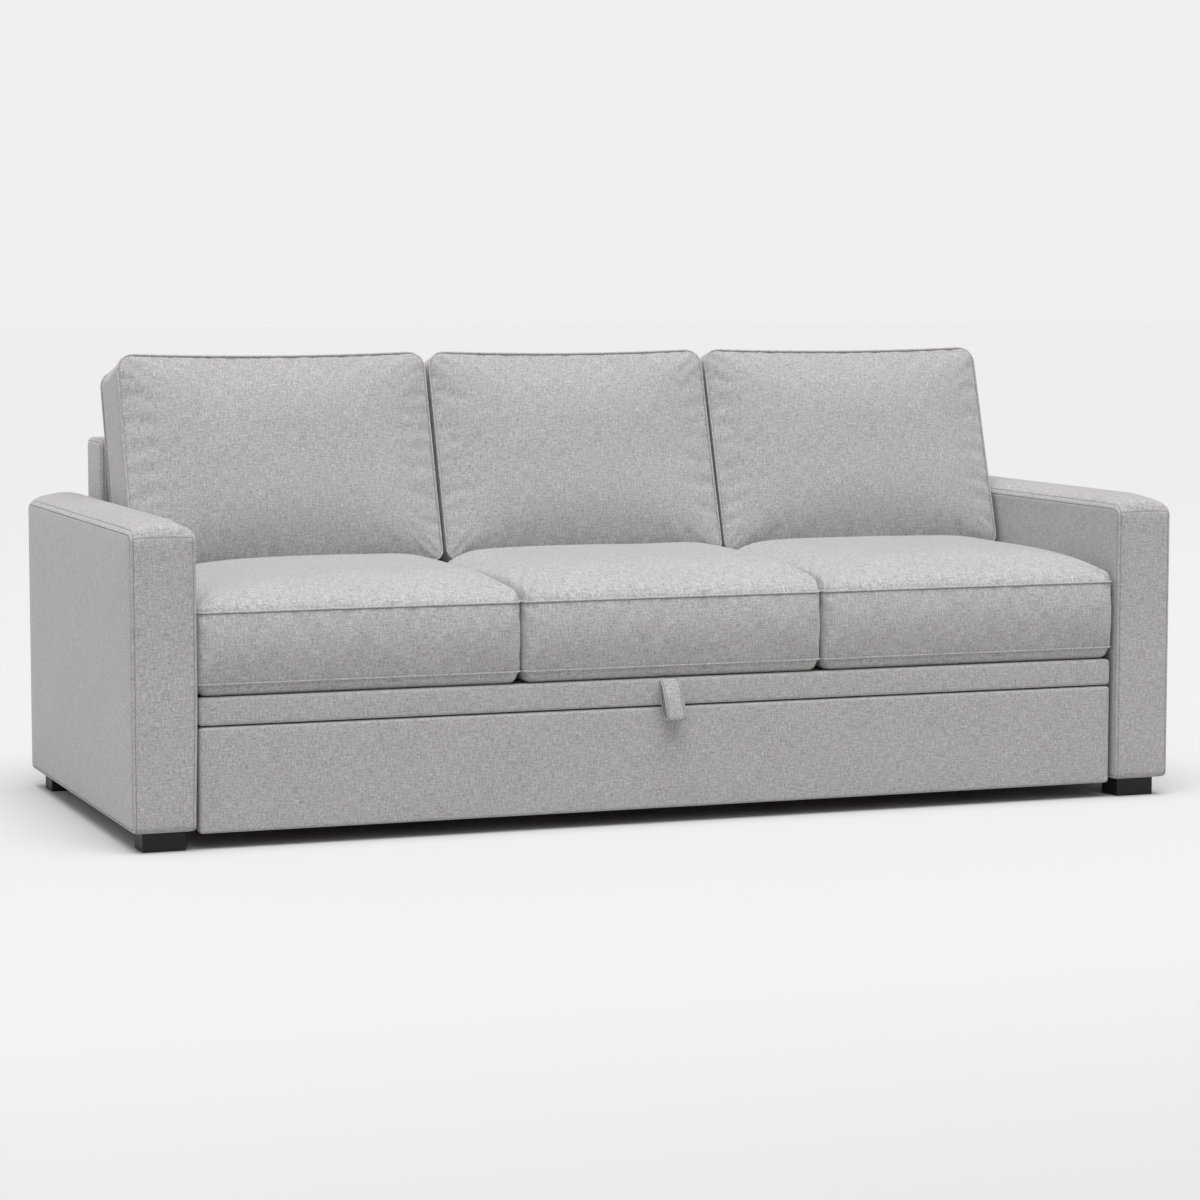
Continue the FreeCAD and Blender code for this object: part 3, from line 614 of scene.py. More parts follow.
class CushionShape:
    """A boxed cushion about its own middle: X across, Y along, Z through its thickness.

    'corners' gives the radii at the low and the high end of Y. 'fullness' gives how far the rise
    of a panel reaches and its power, from the left side, the right side and the two ends. 'slant'
    lifts the lower seam at the high end of Y. A 'flat' underside lies on something."""

    def __init__(self, half, corners, seams, crown, belly, waist, bulges, seed, fullness,
                 slant=0.0, flat=False):
        self.half, self.corners, self.seams = half, corners, seams
        self.crown, self.belly, self.waist, self.bulges = crown, belly, waist, bulges
        self.seed, self.fullness, self.slant, self.flat = seed, fullness, slant, flat

    def edge(self, side, share):
        """A point of the seam's outline: the side's number and the share along it."""
        across = side % 2 == 0
        half_run, half_off = self.half if across else self.half[::-1]
        low, high = self.corners
        first, last = ((low, low), (low, high), (high, high), (high, low))[side]
        quarter = first * math.pi / 4
        straight = 2 * half_run - first - last
        gone = share * (quarter + straight + last * math.pi / 4)
        if gone < quarter:
            angle = math.pi / 4 * (1 - gone / quarter)
            run = -half_run + first - first * math.sin(angle)
            off = half_off - first + first * math.cos(angle)
        elif gone > quarter + straight:
            angle = (gone - quarter - straight) / last
            run = half_run - last + last * math.sin(angle)
            off = half_off - last + last * math.cos(angle)
        else:
            run = -half_run + first + gone - quarter
            off = half_off
        off -= self.waist[0 if across else 1] * (1 - (run / half_run) ** 2)
        return ((run, -off), (off, run), (-run, off), (-off, -run))[side]

    def rise(self, s, t):
        """How far a panel has risen, from 0 at the seam to 1 over the middle."""
        left, right, ends = self.fullness
        shares = []
        for share, (reach, power) in ((s, left if s < 0.5 else right), (t, ends)):
            inset = max(0.0, 1 - abs(2 * share - 1))
            shares.append(math.sin(math.pi / 2 * min(1.0, inset / reach)) ** power)
        if min(shares) <= 0:
            return 0.0
        return (shares[0] ** -1.7 + shares[1] ** -1.7 - 1) ** (-1 / 1.7)

    def flat_rise(self, inset_x, inset_y):
        """The rise of an underside that lies flat on something."""
        shares = [max(0.0, 1 - inset * half / radius)
                  for inset, half, radius in zip((inset_x, inset_y), self.half, (0.024, 0.031))]
        away = min(1.0, math.hypot(*shares))
        return (1 - away ** 2.05) ** (1 / 2.05)

    def slanted(self, y):
        """How far the lower seam is shifted along Y there."""
        return self.slant * max(0.0, y / self.half[1]) ** 2

    def pucker(self, x, y, s, t):
        """Short slanting folds where the panel's cloth is gathered at its seam."""
        near = min((1 - abs(2 * s - 1)) * self.half[0], (1 - abs(2 * t - 1)) * self.half[1])
        fold = noise.noise(Vector((x * 34 + y * 17, y * 30 - x * 12, self.seed * 5.3)))
        return PUCKER * (0.3 + 0.7 * t) * fold * math.exp(-near / 0.032) * min(1.0, near / 0.006)

    def lift(self, top, x, y, s, t):
        """How far a panel's point stands above its seam, for the upper or the lower panel."""
        inset_x, inset_y = 1 - abs(2 * s - 1), 1 - abs(2 * t - 1)
        if top:
            wander = noise.noise(Vector((x * 6, y * 6, 1.0 + self.seed * 3.7)))
            return (self.crown * self.rise(s, t) + self.pucker(x, y, s, t)
                    + UNEVENNESS * wander * min(1.0, 4 * min(inset_x, inset_y)))
        return -self.belly * (self.flat_rise(inset_x, inset_y) if self.flat else self.rise(s, t))

    def build(self, spacing):
        """Points, faces, cloth coordinates, painted seam shades, and the two seams' point numbers.
        """
        columns, rows = (max(8, round(2 * half / spacing)) for half in self.half)
        layers = max(4, round((self.seams[1] - self.seams[0]) / spacing))

        def graded(index, count):
            """The share along a side, with points closer together towards its ends."""
            return index / count - 0.55 * math.sin(2 * math.pi * index / count) / (2 * math.pi)

        rim = [self.edge(side, graded(index, count))
               for side, count in enumerate((columns, rows, columns, rows))
               for index in range(count)]
        around = len(rim)
        number = {}
        for index in range(columns):
            number[(index, 0)] = index
            number[(columns - index, rows)] = columns + rows + index
        for index in range(rows):
            number[(columns, index)] = columns + index
            number[(0, rows - index)] = 2 * columns + rows + index
        points, seams, flats = [], [], []

        def panel(top):
            """The inner points of one panel, by a patch between the four sides of the rim."""
            table = {}
            corners = [rim[number[key]] for key in (
                (0, 0), (columns, 0), (0, rows), (columns, rows))]
            for column in range(1, columns):
                for row in range(1, rows):
                    s, t = graded(column, columns), graded(row, rows)
                    low, high = rim[number[(column, 0)]], rim[number[(column, rows)]]
                    left, right = rim[number[(0, row)]], rim[number[(columns, row)]]
                    x, y = (
                        (1 - t) * low[axis] + t * high[axis]
                        + (1 - s) * left[axis] + s * right[axis]
                        - (1 - s) * (1 - t) * corners[0][axis] - s * (1 - t) * corners[1][axis]
                        - (1 - s) * t * corners[2][axis] - s * t * corners[3][axis]
                        for axis in (0, 1))
                    table[(column, row)] = len(points)
                    points.append(Vector((
                        x, y + (0.0 if top else self.slanted(y)),
                        self.seams[1 if top else 0] + self.lift(top, x, y, s, t))))
                    seams.append(0.0)
                    flats.append((x, y))
            return table

        directions = []
        for index in range(around):
            before, after = rim[index - 1], rim[(index + 1) % around]
            directions.append(
                Vector((after[1] - before[1], before[0] - after[0])).normalized())
        loops = []
        for layer in range(layers + 1):
            share = layer / layers
            height = self.seams[1] + (self.seams[0] - self.seams[1]) * share
            swell = 1 - (2 * share - 1) ** 2
            loops.append(list(range(len(points), len(points) + around)))
            for (x, y), way in zip(rim, directions):
                push = swell * (way.x ** 2 * self.bulges[0] + way.y ** 2 * self.bulges[1])
                points.append(Vector((
                    x + way.x * push, y + way.y * push + self.slanted(y) * share, height)))
                # Painted shade on the loops at the seams
                seams.append(1.0 if layer in (0, layers) else 0.0)
                flats.append((x, y))
        top, bottom = panel(True), panel(False)
        girth = distances(rim, closed=True)
        faces, cuts = [], []
        for upper, lower in zip(loops, loops[1:]):
            high, low = points[upper[0]].z, points[lower[0]].z
            for index in range(around):
                following = (index + 1) % around
                faces.append((upper[index], lower[index], lower[following], upper[following]))
                cuts.append((
                    (girth[index], high), (girth[index], low),
                    (girth[index + 1], low), (girth[index + 1], high)))
        for table, loop, way in ((top, loops[0], 1), (bottom, loops[-1], -1)):
            def find(key):
                return loop[number[key]] if key in number else table[key]
            for column in range(columns):
                for row in range(rows):
                    face = tuple(find(key) for key in (
                        (column, row), (column + 1, row), (column + 1, row + 1),
                        (column, row + 1)))[::way]
                    faces.append(face)
                    cuts.append(tuple(flats[corner] for corner in face))
        return points, faces, cuts, seams, loops[0], loops[-1]


def swell(cushions, settings):
    """Fill the cushions' cloth with a simulation, with the seams held and slack beside them.

    Each entry has the mesh, the numbers of the points that are held, and how far each point is
    gathered. The meshes are changed."""
    scene = bpy.context.scene
    stand_ins = []
    for mesh, held, gathered in cushions:
        stand_in = placed("cloth_stand_in", mesh.copy())
        stand_in.vertex_groups.new(name="held").add(held, 1.0, "REPLACE")
        tight = stand_in.vertex_groups.new(name="tight")
        for weight in (0.25, 0.5, 0.75, 1.0):
            chosen = [index for index, value in enumerate(gathered)
                      if weight - 0.25 < value <= weight]
            if chosen:
                tight.add(chosen, weight, "REPLACE")
        cloth = stand_in.modifiers.new("Cloth", "CLOTH")
        for key, value in {
                "quality": 6, "mass": 0.25, "tension_stiffness": 18, "compression_stiffness": 12,
                "shear_stiffness": 8, "bending_stiffness": 0.6, "air_damping": 4,
                "vertex_group_mass": "held", "use_pressure": True,
                "uniform_pressure_force": settings.pressure, "vertex_group_shrink": "tight",
                "shrink_min": -settings.slack, "shrink_max": 0.0}.items():
            setattr(cloth.settings, key, value)
        cloth.settings.effector_weights.gravity = 0
        cloth.collision_settings.use_collision = False
        cloth.collision_settings.use_self_collision = False
        stand_ins.append(stand_in)
    for number in range(1, settings.frames + 1):
        scene.frame_set(number)
    graph = bpy.context.evaluated_depsgraph_get()
    for (mesh, held, gathered), stand_in in zip(cushions, stand_ins):
        filled = bpy.data.meshes.new_from_object(stand_in.evaluated_get(graph))
        start = np.empty(len(mesh.vertices) * 3, np.float32)
        end = np.empty_like(start)
        mesh.vertices.foreach_get("co", start)
        filled.vertices.foreach_get("co", end)
        move = (end - start).reshape(-1, 3)
        run = np.linalg.norm(move, axis=1, keepdims=True)
        move *= settings.cap * np.tanh(run / settings.cap) / np.maximum(run, 1e-9)
        move[:, 0] *= 0.35
        mesh.vertices.foreach_set("co", (start.reshape(-1, 3) + move).ravel())
        bpy.data.meshes.remove(filled)
        bpy.data.objects.remove(stand_in)
    scene.frame_set(1)


def finer(mesh):
    """The mesh with one level of subdivision."""
    holder = placed("holder", mesh)
    level = holder.modifiers.new("Finer", "SUBSURF")
    level.levels = level.render_levels = 1
    made = from_modifiers(holder)
    bpy.data.meshes.remove(mesh)
    return made


def soft_floor(value, floor, blend):
    """The value kept above the floor, with a rounded start."""
    over = (value - floor) / blend
    if over > 20:
        return value
    return floor + blend * math.log1p(math.exp(over)) if over > -40 else floor


def soft_roof(value, roof, blend):
    return -soft_floor(-value, -roof, blend)


def seat_roof(y):
    """The highest that a seat cushion's top may be, as the back cushion stands on its rear part."""
    marks = (
        (-1.0, 0.60), (0.000, 0.526), (0.020, 0.5165), (0.034, 0.5065), (0.043, 0.4965),
        (0.051, 0.4875), (0.062, 0.4820), (0.085, 0.4750), (0.110, 0.4698), (0.140, 0.4694),
        (1.0, 0.4694))
    for (here, low), (there, high) in zip(marks, marks[1:]):
        if y <= there:
            return low + (high - low) * (y - here) / (there - here)
    return marks[-1][1]


def press_seat(point, middle_x, half_x):
    """Where a seat cushion's point ends up between the deck, its neighbours and the back."""
    reach = half_x + SEAT_ROOM
    x = middle_x + max(-reach, min(reach, point.x - middle_x))
    y = min(point.y, BACK_FACE)
    z = soft_floor(point.z, SEAT_REST, 0.0006)
    if z > 0.40:
        z = soft_roof(z, seat_roof(y) - 0.0004, 0.0016)
    return Vector((x, y, z))


def press_back(point, middle_x, half_x):
    """Where a back cushion's point ends up between the seat, its neighbours and the back panel."""
    reach = half_x + BACK_ROOM
    return Vector((
        middle_x + max(-reach, min(reach, point.x - middle_x)),
        soft_roof(point.y, BACK_FACE, 0.0020), soft_floor(point.z, BACK_REST, 0.0016)))


def dress_cushions(kind, shapes, press, context):
    """Build, fill, press and pipe a row of cushions. 'shapes' gives name, shape and matrix."""
    settings, cloth = context.scene.sofa_cushions, context.scene.sofa_cloth
    built = [shape.build(settings.spacing) for name, shape, matrix in shapes]
    meshes = []
    for (name, shape, matrix), (points, faces, cuts, seams, high, low) in zip(shapes, built):
        held = set(high) | set(low)
        if shape.flat:
            low_seam = shape.seams[0] - 0.001
            held |= {index for index, point in enumerate(points) if point.z < low_seam}
        gathered = []
        for point in points:
            gap = min(abs(point.z - seam) for seam in shape.seams)
            away = min(shape.half[0] - abs(point.x), shape.half[1] - abs(point.y))
            gathered.append(min(1.0, math.hypot(gap, max(away, 0.0)) / 0.09))
        meshes.append((mesh_from(name, points, faces, cuts, seams), sorted(held), gathered))
    swell(meshes, settings)
    tone, piping_painted_shade, fill = ROWS[kind]
    # The cushions' cloth; the back row's lower tone is painted shade on the same cloth
    finish = material(
        "cloth_cushions_" + kind, cloth_material, cloth, tone, 1.0, CUSHION_SEAM_PAINTED_SHADE)
    # The piping's cloth, with painted shade along the sides of the cord
    piping_finish = material("cloth_piping_" + kind, cloth_material, cloth, 1.06, 1.0, piping_painted_shade)
    radius = getattr(settings, kind + "_piping")
    for (name, shape, matrix), (mesh, held, gathered), made in zip(shapes, meshes, built):
        loops = [[mesh.vertices[index].co.copy() for index in loop] for loop in made[4:]]
        middle_x, half_x = matrix.translation.x, shape.half[0]
        mesh = finer(mesh)
        for vertex in mesh.vertices:
            vertex.co = press(matrix @ vertex.co, middle_x, half_x)
        mesh.update()
        piece = link_mesh(
            kind + "_cushion_pad_" + name, mesh, "sofa_body", finish)
        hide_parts(kind + "_cushion_" + name)
        for label, loop, lean in (("upper", loops[0], 0.7), ("lower", loops[1], -0.7)):
            count = len(loop)
            smooth = [
                (loop[index - 1] + loop[index] * 2 + loop[(index + 1) % count]) / 4
                for index in range(count)]
            path, outwards = [], []
            for index in range(count):
                run = smooth[(index + 1) % count] - smooth[index - 1]
                out = Vector((run.y, -run.x, 0)).normalized() + Vector((0, 0, lean))
                out = out.normalized()
                path.append(matrix @ (smooth[index] + out * radius * 0.45))
                outwards.append(matrix.to_3x3() @ out)
            title = kind + "_piping_" + label + "_" + name
            cord = tube(
                title, path, radius, lambda spot: press(spot, middle_x, half_x), outwards)
            link_mesh(title, cord, "sofa_body", piping_finish)


# Stitches and fasteners


def node_group(name, inputs, fill):
    """The Geometry Nodes tree of that name and its inputs' identifiers, made once.

    'fill' adds its nodes and gives the geometry that leaves it."""
    tree = bpy.data.node_groups.get(name)
    if not tree:
        tree = bpy.data.node_groups.new(name, "GeometryNodeTree")
        for way in ("INPUT", "OUTPUT"):
            tree.interface.new_socket(name="Geometry", in_out=way, socket_type="NodeSocketGeometry")
        for label, kind in inputs.items():
            tree.interface.new_socket(name=label, in_out="INPUT", socket_type="NodeSocket" + kind)
        nodes = Nodes(tree)
        enter = nodes.add("NodeGroupInput").outputs
        nodes.add("NodeGroupOutput", (0, fill(nodes, enter)))
    return tree, {item.name: item.identifier for item in tree.interface.items_tree
                  if item.in_out == "INPUT"}


def chance(nodes, seed, low, high):
    """A random number for each point."""
    node = nodes.add(
        "FunctionNodeRandomValue", (2, low), (3, high), ("Seed", seed), data_type="FLOAT")
    return node.outputs[1]


def fill_stitches(nodes, enter):
    """Stitches laid end to end along each chain of edges."""
    thread = nodes.out("GeometryNodeMeshUVSphere", ("Segments", 6), ("Rings", 4), ("Radius", 1.0))
    align = nodes.out(
        "FunctionNodeAlignRotationToVector",
        ("Vector", nodes.out("GeometryNodeInputTangent")), axis="X")
    half = nodes.maths("MULTIPLY", enter["Length"], 0.5)
    long = nodes.maths("MULTIPLY", half, chance(nodes, enter["Seed"], 0.88, 1.1))
    size = nodes.out("ShaderNodeCombineXYZ", (0, long), (1, enter["Radius"]), (2, enter["Radius"]))
    curve = nodes.out("GeometryNodeMeshToCurve", (0, enter["Geometry"]))
    marks = nodes.out(
        "GeometryNodeResampleCurve", (0, curve), ("Length", enter["Spacing"]), mode="LENGTH")
    laid = nodes.out(
        "GeometryNodeInstanceOnPoints", (0, marks), ("Instance", thread), ("Rotation", align),
        ("Scale", size))
    solid = nodes.out("GeometryNodeRealizeInstances", (0, laid))
    smooth = nodes.out("GeometryNodeSetShadeSmooth", (0, solid))
    return nodes.out("GeometryNodeSetMaterial", (0, smooth), ("Material", enter["Thread"]))


def fill_screws(nodes, enter):
    """Countersunk screw heads with a recess, one on each point, turned at random."""
    head = nodes.add("GeometryNodeObjectInfo", ("Object", enter["Head"])).outputs["Geometry"]
    spin = nodes.out("ShaderNodeCombineXYZ", (2, chance(nodes, enter["Seed"], 0.0, math.pi)))
    size = nodes.out("ShaderNodeCombineXYZ", *((axis, enter["Radius"]) for axis in range(3)))
    spots = nodes.out("GeometryNodeMeshToPoints", (0, enter["Geometry"]))
    laid = nodes.out(
        "GeometryNodeInstanceOnPoints", (0, spots), ("Instance", head), ("Rotation", spin),
        ("Scale", size))
    solid = nodes.out("GeometryNodeRealizeInstances", (0, laid))
    return nodes.out("GeometryNodeSetMaterial", (0, solid), ("Material", enter["Steel"]))


def grown(name, mesh, group, values, body, finish):
    """A piece made by running the tree over the mesh, with no modifier left on it."""
    tree, keys = group
    holder = placed(name + "_seed", mesh)
    grower = holder.modifiers.new("Grow", "NODES")
    grower.node_group = tree
    for label, value in values.items():
        grower[keys[label]] = value
    made = from_modifiers(holder)
    if not made.vertices:
        raise RuntimeError(name + " came out empty")
    return link_mesh(name, made, body, finish, smooth=False)


def stitched(name, paths, trim, body):
    """Stitches along open paths of points."""
    mesh = bpy.data.meshes.new(name)
    points, edges = [], []
    for path in paths:
        start = len(points)
        points += [tuple(point) for point in path]
        edges += [(start + index, start + index + 1) for index in range(len(path) - 1)]
    mesh.from_pydata(points, edges, [])
    group = node_group("stitches", {
        "Spacing": "Float", "Length": "Float", "Radius": "Float", "Seed": "Int",
        "Thread": "Material"}, fill_stitches)
    thread = material(
        "sewing_thread", plain_material, (0.40, 0.40, 0.40), 0.8, 0.0, 900.0, 0.0001, 0.2)
    grown(name, mesh, group, {
        "Spacing": trim.stitch_spacing, "Length": trim.stitch_length,
        "Radius": trim.stitch_radius, "Seed": 11, "Thread": thread}, body, thread)


def cover_cloth(context):
    return material("cloth_covers", cloth_material, context.scene.sofa_cloth)


def zinc():
    return material(
        "zinc_plate", plain_material, (0.60, 0.61, 0.62), 0.34, 1.0, 240.0, 0.00006, 0.10)


def smooth_path(marks, steps):
    """Points on a smooth curve through the marks."""
    marks = [Vector(mark) for mark in marks]
    path = []
    for index in range(len(marks) - 1):
        here, there = marks[index], marks[index + 1]
        before = marks[index - 1] if index else here * 2 - there
        after = marks[index + 2] if index + 2 < len(marks) else there * 2 - here
        for step in range(steps):
            t = step / steps
            path.append(0.5 * (
                2 * here + (there - before) * t
                + (2 * before - 5 * here + 4 * there - after) * t ** 2
                + (3 * here - before - 3 * there + after) * t ** 3))
    path.append(marks[-1])
    return path


# Operators


class SOFABED_OT_stage(bpy.types.Operator):
    """Place the camera, the floor and the light"""

    bl_idname = "sofabed.stage"
    bl_label = "Camera, floor and light"

    def execute(self, context):
        scene = context.scene
        settings = scene.sofa_stage
        camera = bpy.data.cameras.new("camera")
        camera.lens = settings.lens
        camera.sensor_width = 36
        camera.clip_start, camera.clip_end = 0.1, 200
        scene.camera = placed("camera", camera)
        scene.camera.location = settings.camera_place
        scene.camera.rotation_euler = (
            math.pi / 2 - settings.camera_dip, 0, -settings.camera_turn)
        scene.view_settings.view_transform = "Standard"

        mesh = bpy.data.meshes.new("floor")
        reach = 60
        mesh.from_pydata(
            [(-reach, -reach, 0), (reach, -reach, 0), (reach, reach, 0), (-reach, reach, 0)],
            [], [(0, 1, 2, 3)])
        new = Surface("floor_paint", 0.9, Specular_IOR_Level=0.1)
        place = new.add("ShaderNodeTexCoord").outputs["Object"]
        away = new.add("ShaderNodeSeparateXYZ", (0, place)).outputs[1]
        share = new.out("ShaderNodeMapRange", (0, away), ("From Min", -3.2), ("From Max", 8.0))
        near = tuple(settings.floor_colour)
        # Painted light: lighter near the sofa, darker towards the camera and the backdrop
        paint = new.ramp(
            share, (0.0, tuple(settings.floor_front)), (0.11, near), (0.36, near),
            (1.0, tuple(settings.floor_far)))
        sight = new.add("ShaderNodeLightPath").outputs["Is Camera Ray"]
        shown = new.add(
            "ShaderNodeMix", (0, sight), (6, (*settings.floor_bounce, 1)), (7, paint),
            data_type="RGBA")
        new.shade(Base_Color=shown.outputs[2])
        mesh.materials.append(new.material)
        placed("floor", mesh)

        world = bpy.data.worlds.new("surround")
        world.use_nodes = True
        world.node_tree.nodes.clear()
        nodes = Nodes(world.node_tree)
        seen = nodes.add("ShaderNodeLightPath").outputs["Is Camera Ray"]
        lit = nodes.out("ShaderNodeBackground", ("Color", (1, 1, 1, 1)), ("Strength", settings.sky))
        backdrop = nodes.out(
            "ShaderNodeBackground", ("Color", (*settings.backdrop, 1)), ("Strength", 1.0))
        blend = nodes.out("ShaderNodeMixShader", (0, seen), (1, lit), (2, backdrop))
        nodes.add("ShaderNodeOutputWorld", (0, blend))
        scene.world = world

        sun = bpy.data.lights.new("overhead", "SUN")
        sun.energy = settings.sun
        sun.angle = math.radians(50)
        placed("overhead", sun).rotation_euler = (math.radians(15), math.radians(-3), 0)
        return {"FINISHED"}


class SOFABED_OT_frame_finishes(bpy.types.Operator):
    """Give the timber, metal, nylon and rubber pieces their finishes"""

    bl_idname = "sofabed.frame_finishes"
    bl_label = "Frame finishes"

    def execute(self, context):
        made = {"zinc_steel": zinc()}
        # Slot, name, axis of the grain, pale colour, dark colour, and roughness
        pine, pine_dark = (0.62, 0.44, 0.25), (0.42, 0.26, 0.12)
        for slot, name, *look in (
                ("timber_x", "pine_across", "X", pine, pine_dark),
                ("timber_y", "pine_along", "Y", pine, pine_dark),
                ("timber_z", "pine_upright", "Z", pine, pine_dark),
                ("slat_timber", "slat_pine", "Y", (0.72, 0.55, 0.35), (0.55, 0.37, 0.20), 0.5),
                # Pine painted near black as painted shade: these pieces show only in the gaps
                # between covers and cushions, where shade falls
                ("dark_timber", "stained_pine", "Y",
                 (0.026, 0.022, 0.019), (0.013, 0.011, 0.010), 0.7)):
            made[slot] = material(name, wood_material, *look)
        # Slot, name, colour, roughness, metallic, grain by the metre, its depth, and wear
        for slot, name, *look in (
                ("board", "hardboard", (0.24, 0.15, 0.085), 0.7, 0.0, 380.0, 0.0002, 0.2),
                ("leg_black", "satin_black_paint",
                 (0.0115, 0.0115, 0.012), 0.42, 0.0, 260.0, 0.00015, 0.25),
                ("steel", "black_powder_coat",
                 (0.035, 0.035, 0.037), 0.5, 0.3, 1100.0, 0.0002, 0.2),
                ("nylon", "nylon", (0.70, 0.70, 0.66), 0.45, 0.0, 500.0, 0.00008, 0.05),
                ("rubber", "rubber", (0.028, 0.028, 0.028), 0.85, 0.0, 700.0, 0.00015, 0.2)):
            made[slot] = material(name, plain_material, *look)
        for part in frame["record"]["subparts"]:
            name, slot = part["node"], part["material_slot"]
            if slot == "timber":
                slot = "timber_x"
                if name.startswith(("arm_posts", "back_posts")):
                    slot = "timber_z"
                # Pieces seen only in shaded gaps get the near-black pine, as painted shade
                elif name.startswith(("side_rail", "front_sill", "front_cross_rail")):
                    slot = "dark_timber"
                elif name.startswith(("arm_rails", "corner_block")):
                    slot = "timber_y"
            if slot not in made:
                continue
            mesh = frame["nodes"][name].data
            if not mesh.materials:
                mesh.materials.append(made[slot])
            for index in range(len(mesh.materials)):
                mesh.materials[index] = made[slot]
        return {"FINISHED"}


class SOFABED_OT_arm_covers(bpy.types.Operator):
    """Cover the arms, with a welt round each side panel and a seam across each end"""

    bl_idname = "sofabed.arm_covers"
    bl_label = "Arm covers"

    def execute(self, context):
        trim = context.scene.sofa_trim
        radius, welt, groove = trim.edge_round, trim.welt_half, trim.groove
        # Height of the domed top, radii of the upper and lower corners, and the seam's place
        dome, corner, foot, seam_angle = 0.009, 0.025, 0.014, 0.30
        # How far the top's edges droop, and how far the ends and the inner front swell out
        droop, end_swell, front_swell = 0.0065, 0.0014, 0.0045
        # Half-width and depth of the seam across each end
        seam_half, seam_depth = 0.0009, 0.0007
        seam_in = corner * (1 - math.cos(seam_angle))
        for side, sign in (("left", -1), ("right", 1)):
            low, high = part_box("arm_cover_" + side)
            top = high.z - dome
            middle, half = (low + high) / 2, (high - low) / 2
            extra = []
            for shift in both_ways(0.0007, 0.0015, 0.003):
                moved = (seam_angle + shift / corner) / (math.pi / 2)
                extra += [(2, moved), (3, 1 - moved)]
            outline = Outline(
                (low.y, low.z), (high.y, top), (foot, foot, corner, corner), extra=extra)
            outer, inner = (low.x, high.x) if sign < 0 else (high.x, low.x)
            rings = edge_rings(outer, -sign, radius, welt, groove)
            between = abs(outer - inner) - 2 * radius
            for share in (0.06, 0.14, 0.25, 0.38, 0.5, 0.62, 0.75, 0.86, 0.94):
                rings.append((outer - sign * (radius + between * share), 0.0, 0.0))
            rings += reversed(edge_rings(inner, sign, radius, welt, groove))

            def place(a, b, along):
                """Dome the top, swell the ends, and swell the left arm's inner front inwards."""
                out = abs(along - middle.x) / half.x
                round_top = 1 - min(1.0, out) ** 2
                edge = max(0.0, min(1.0, (out - 0.5) / 0.5))
                away = eased((half.y - abs(a - middle.y)) / 0.10)
                crest = dome * round_top * (1.1 + 1.0 * away)
                lift = (crest - droop * edge ** 2) * eased((b - top + corner) / corner)
                swell = end_swell * round_top * (a - middle.y) / half.y
                inwards = 0.0
                if sign < 0 and along > middle.x:
                    front = eased((low.y + 0.034 - a) / 0.022) * eased((b - low.z) / 0.26)
                    inwards = front_swell * front * (along - middle.x) / half.x
                return Vector((along + inwards, a + swell, b + lift))

            seam_z = top - corner * (1 - math.sin(seam_angle))
            dips = [((y, seam_z), seam_half, seam_depth)
                    for y in (low.y + seam_in, high.y - seam_in)]
            name = "arm_upholstery_" + side
            mesh = sleeve(name, outline, rings, place, 0.0022, dips)
            piece = link_mesh(name, mesh, "sofa_body", cover_cloth(context))
            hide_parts("arm_cover_" + side)

            paths = []
            sunk = groove * 0.55 - 0.0002
            for edge, into in ((outer, -sign), (inner, sign)):
                for mark in (-welt, welt):
                    along, inset = stitch_line(edge, into, radius, mark, sunk)
                    loop = [place(a, b, along) for (a, b), way in outline.loop(inset)]
                    paths.append(loop + loop[:1])
            stitched("arm_stitches_" + side, paths, trim, "sofa_body")
        return {"FINISHED"}


class SOFABED_OT_back_cover(bpy.types.Operator):
    """Cover the back panel, with a welt at each end and two upright seams behind"""

    bl_idname = "sofabed.back_cover"
    bl_label = "Back cover"

    def execute(self, context):
        trim = context.scene.sofa_trim
        low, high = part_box("back_cover")
        outline = Outline(
            (low.y, low.z), (high.y, high.z), (0.0145, 0.0145, 0.018, 0.018), step=0.02)
        radius, welt, groove = 0.014, trim.welt_half, trim.groove * 0.7
        rings = edge_rings(high.x, -1, radius, welt, groove)
        reach = high.x - radius
        seams = (-reach / 3, reach / 3)
        seam_half, seam_depth = 0.0010, 0.0010
        places = [reach - 2 * reach * step / 40 for step in range(1, 40)]
        places += [seam + shift for seam in seams for shift in both_ways(0.0006, 0.0014, 0.003)]
        for spot in sorted(places, reverse=True):
            # Each seam's groove, with painted shade in it
            dip = sum(math.exp(-((spot - seam) / seam_half) ** 2) for seam in seams)
            rings.append((spot, dip * seam_depth, min(1.0, dip)))
        rings += reversed(edge_rings(low.x, 1, radius, welt, groove))
        name = "back_upholstery"
        mesh = sleeve(name, outline, rings, lambda a, b, along: Vector((along, a, b)))
        piece = link_mesh(name, mesh, "sofa_body", cover_cloth(context))
        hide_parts("back_cover")

        mark = min(radius * math.pi / 4, welt)
        lines = [stitch_line(edge, into, radius, mark, 0.0003)
                 for edge, into in ((high.x, -1), (low.x, 1))]
        lines += [(seam + side, -0.0001) for seam in seams for side in (-0.006, 0.006)]
        paths = []
        for along, inset in lines:
            loop = [Vector((along, a, b)) for (a, b), way in outline.loop(inset)]
            paths.append(loop + loop[:1])
        stitched("back_stitches", paths, trim, "sofa_body")
        return {"FINISHED"}


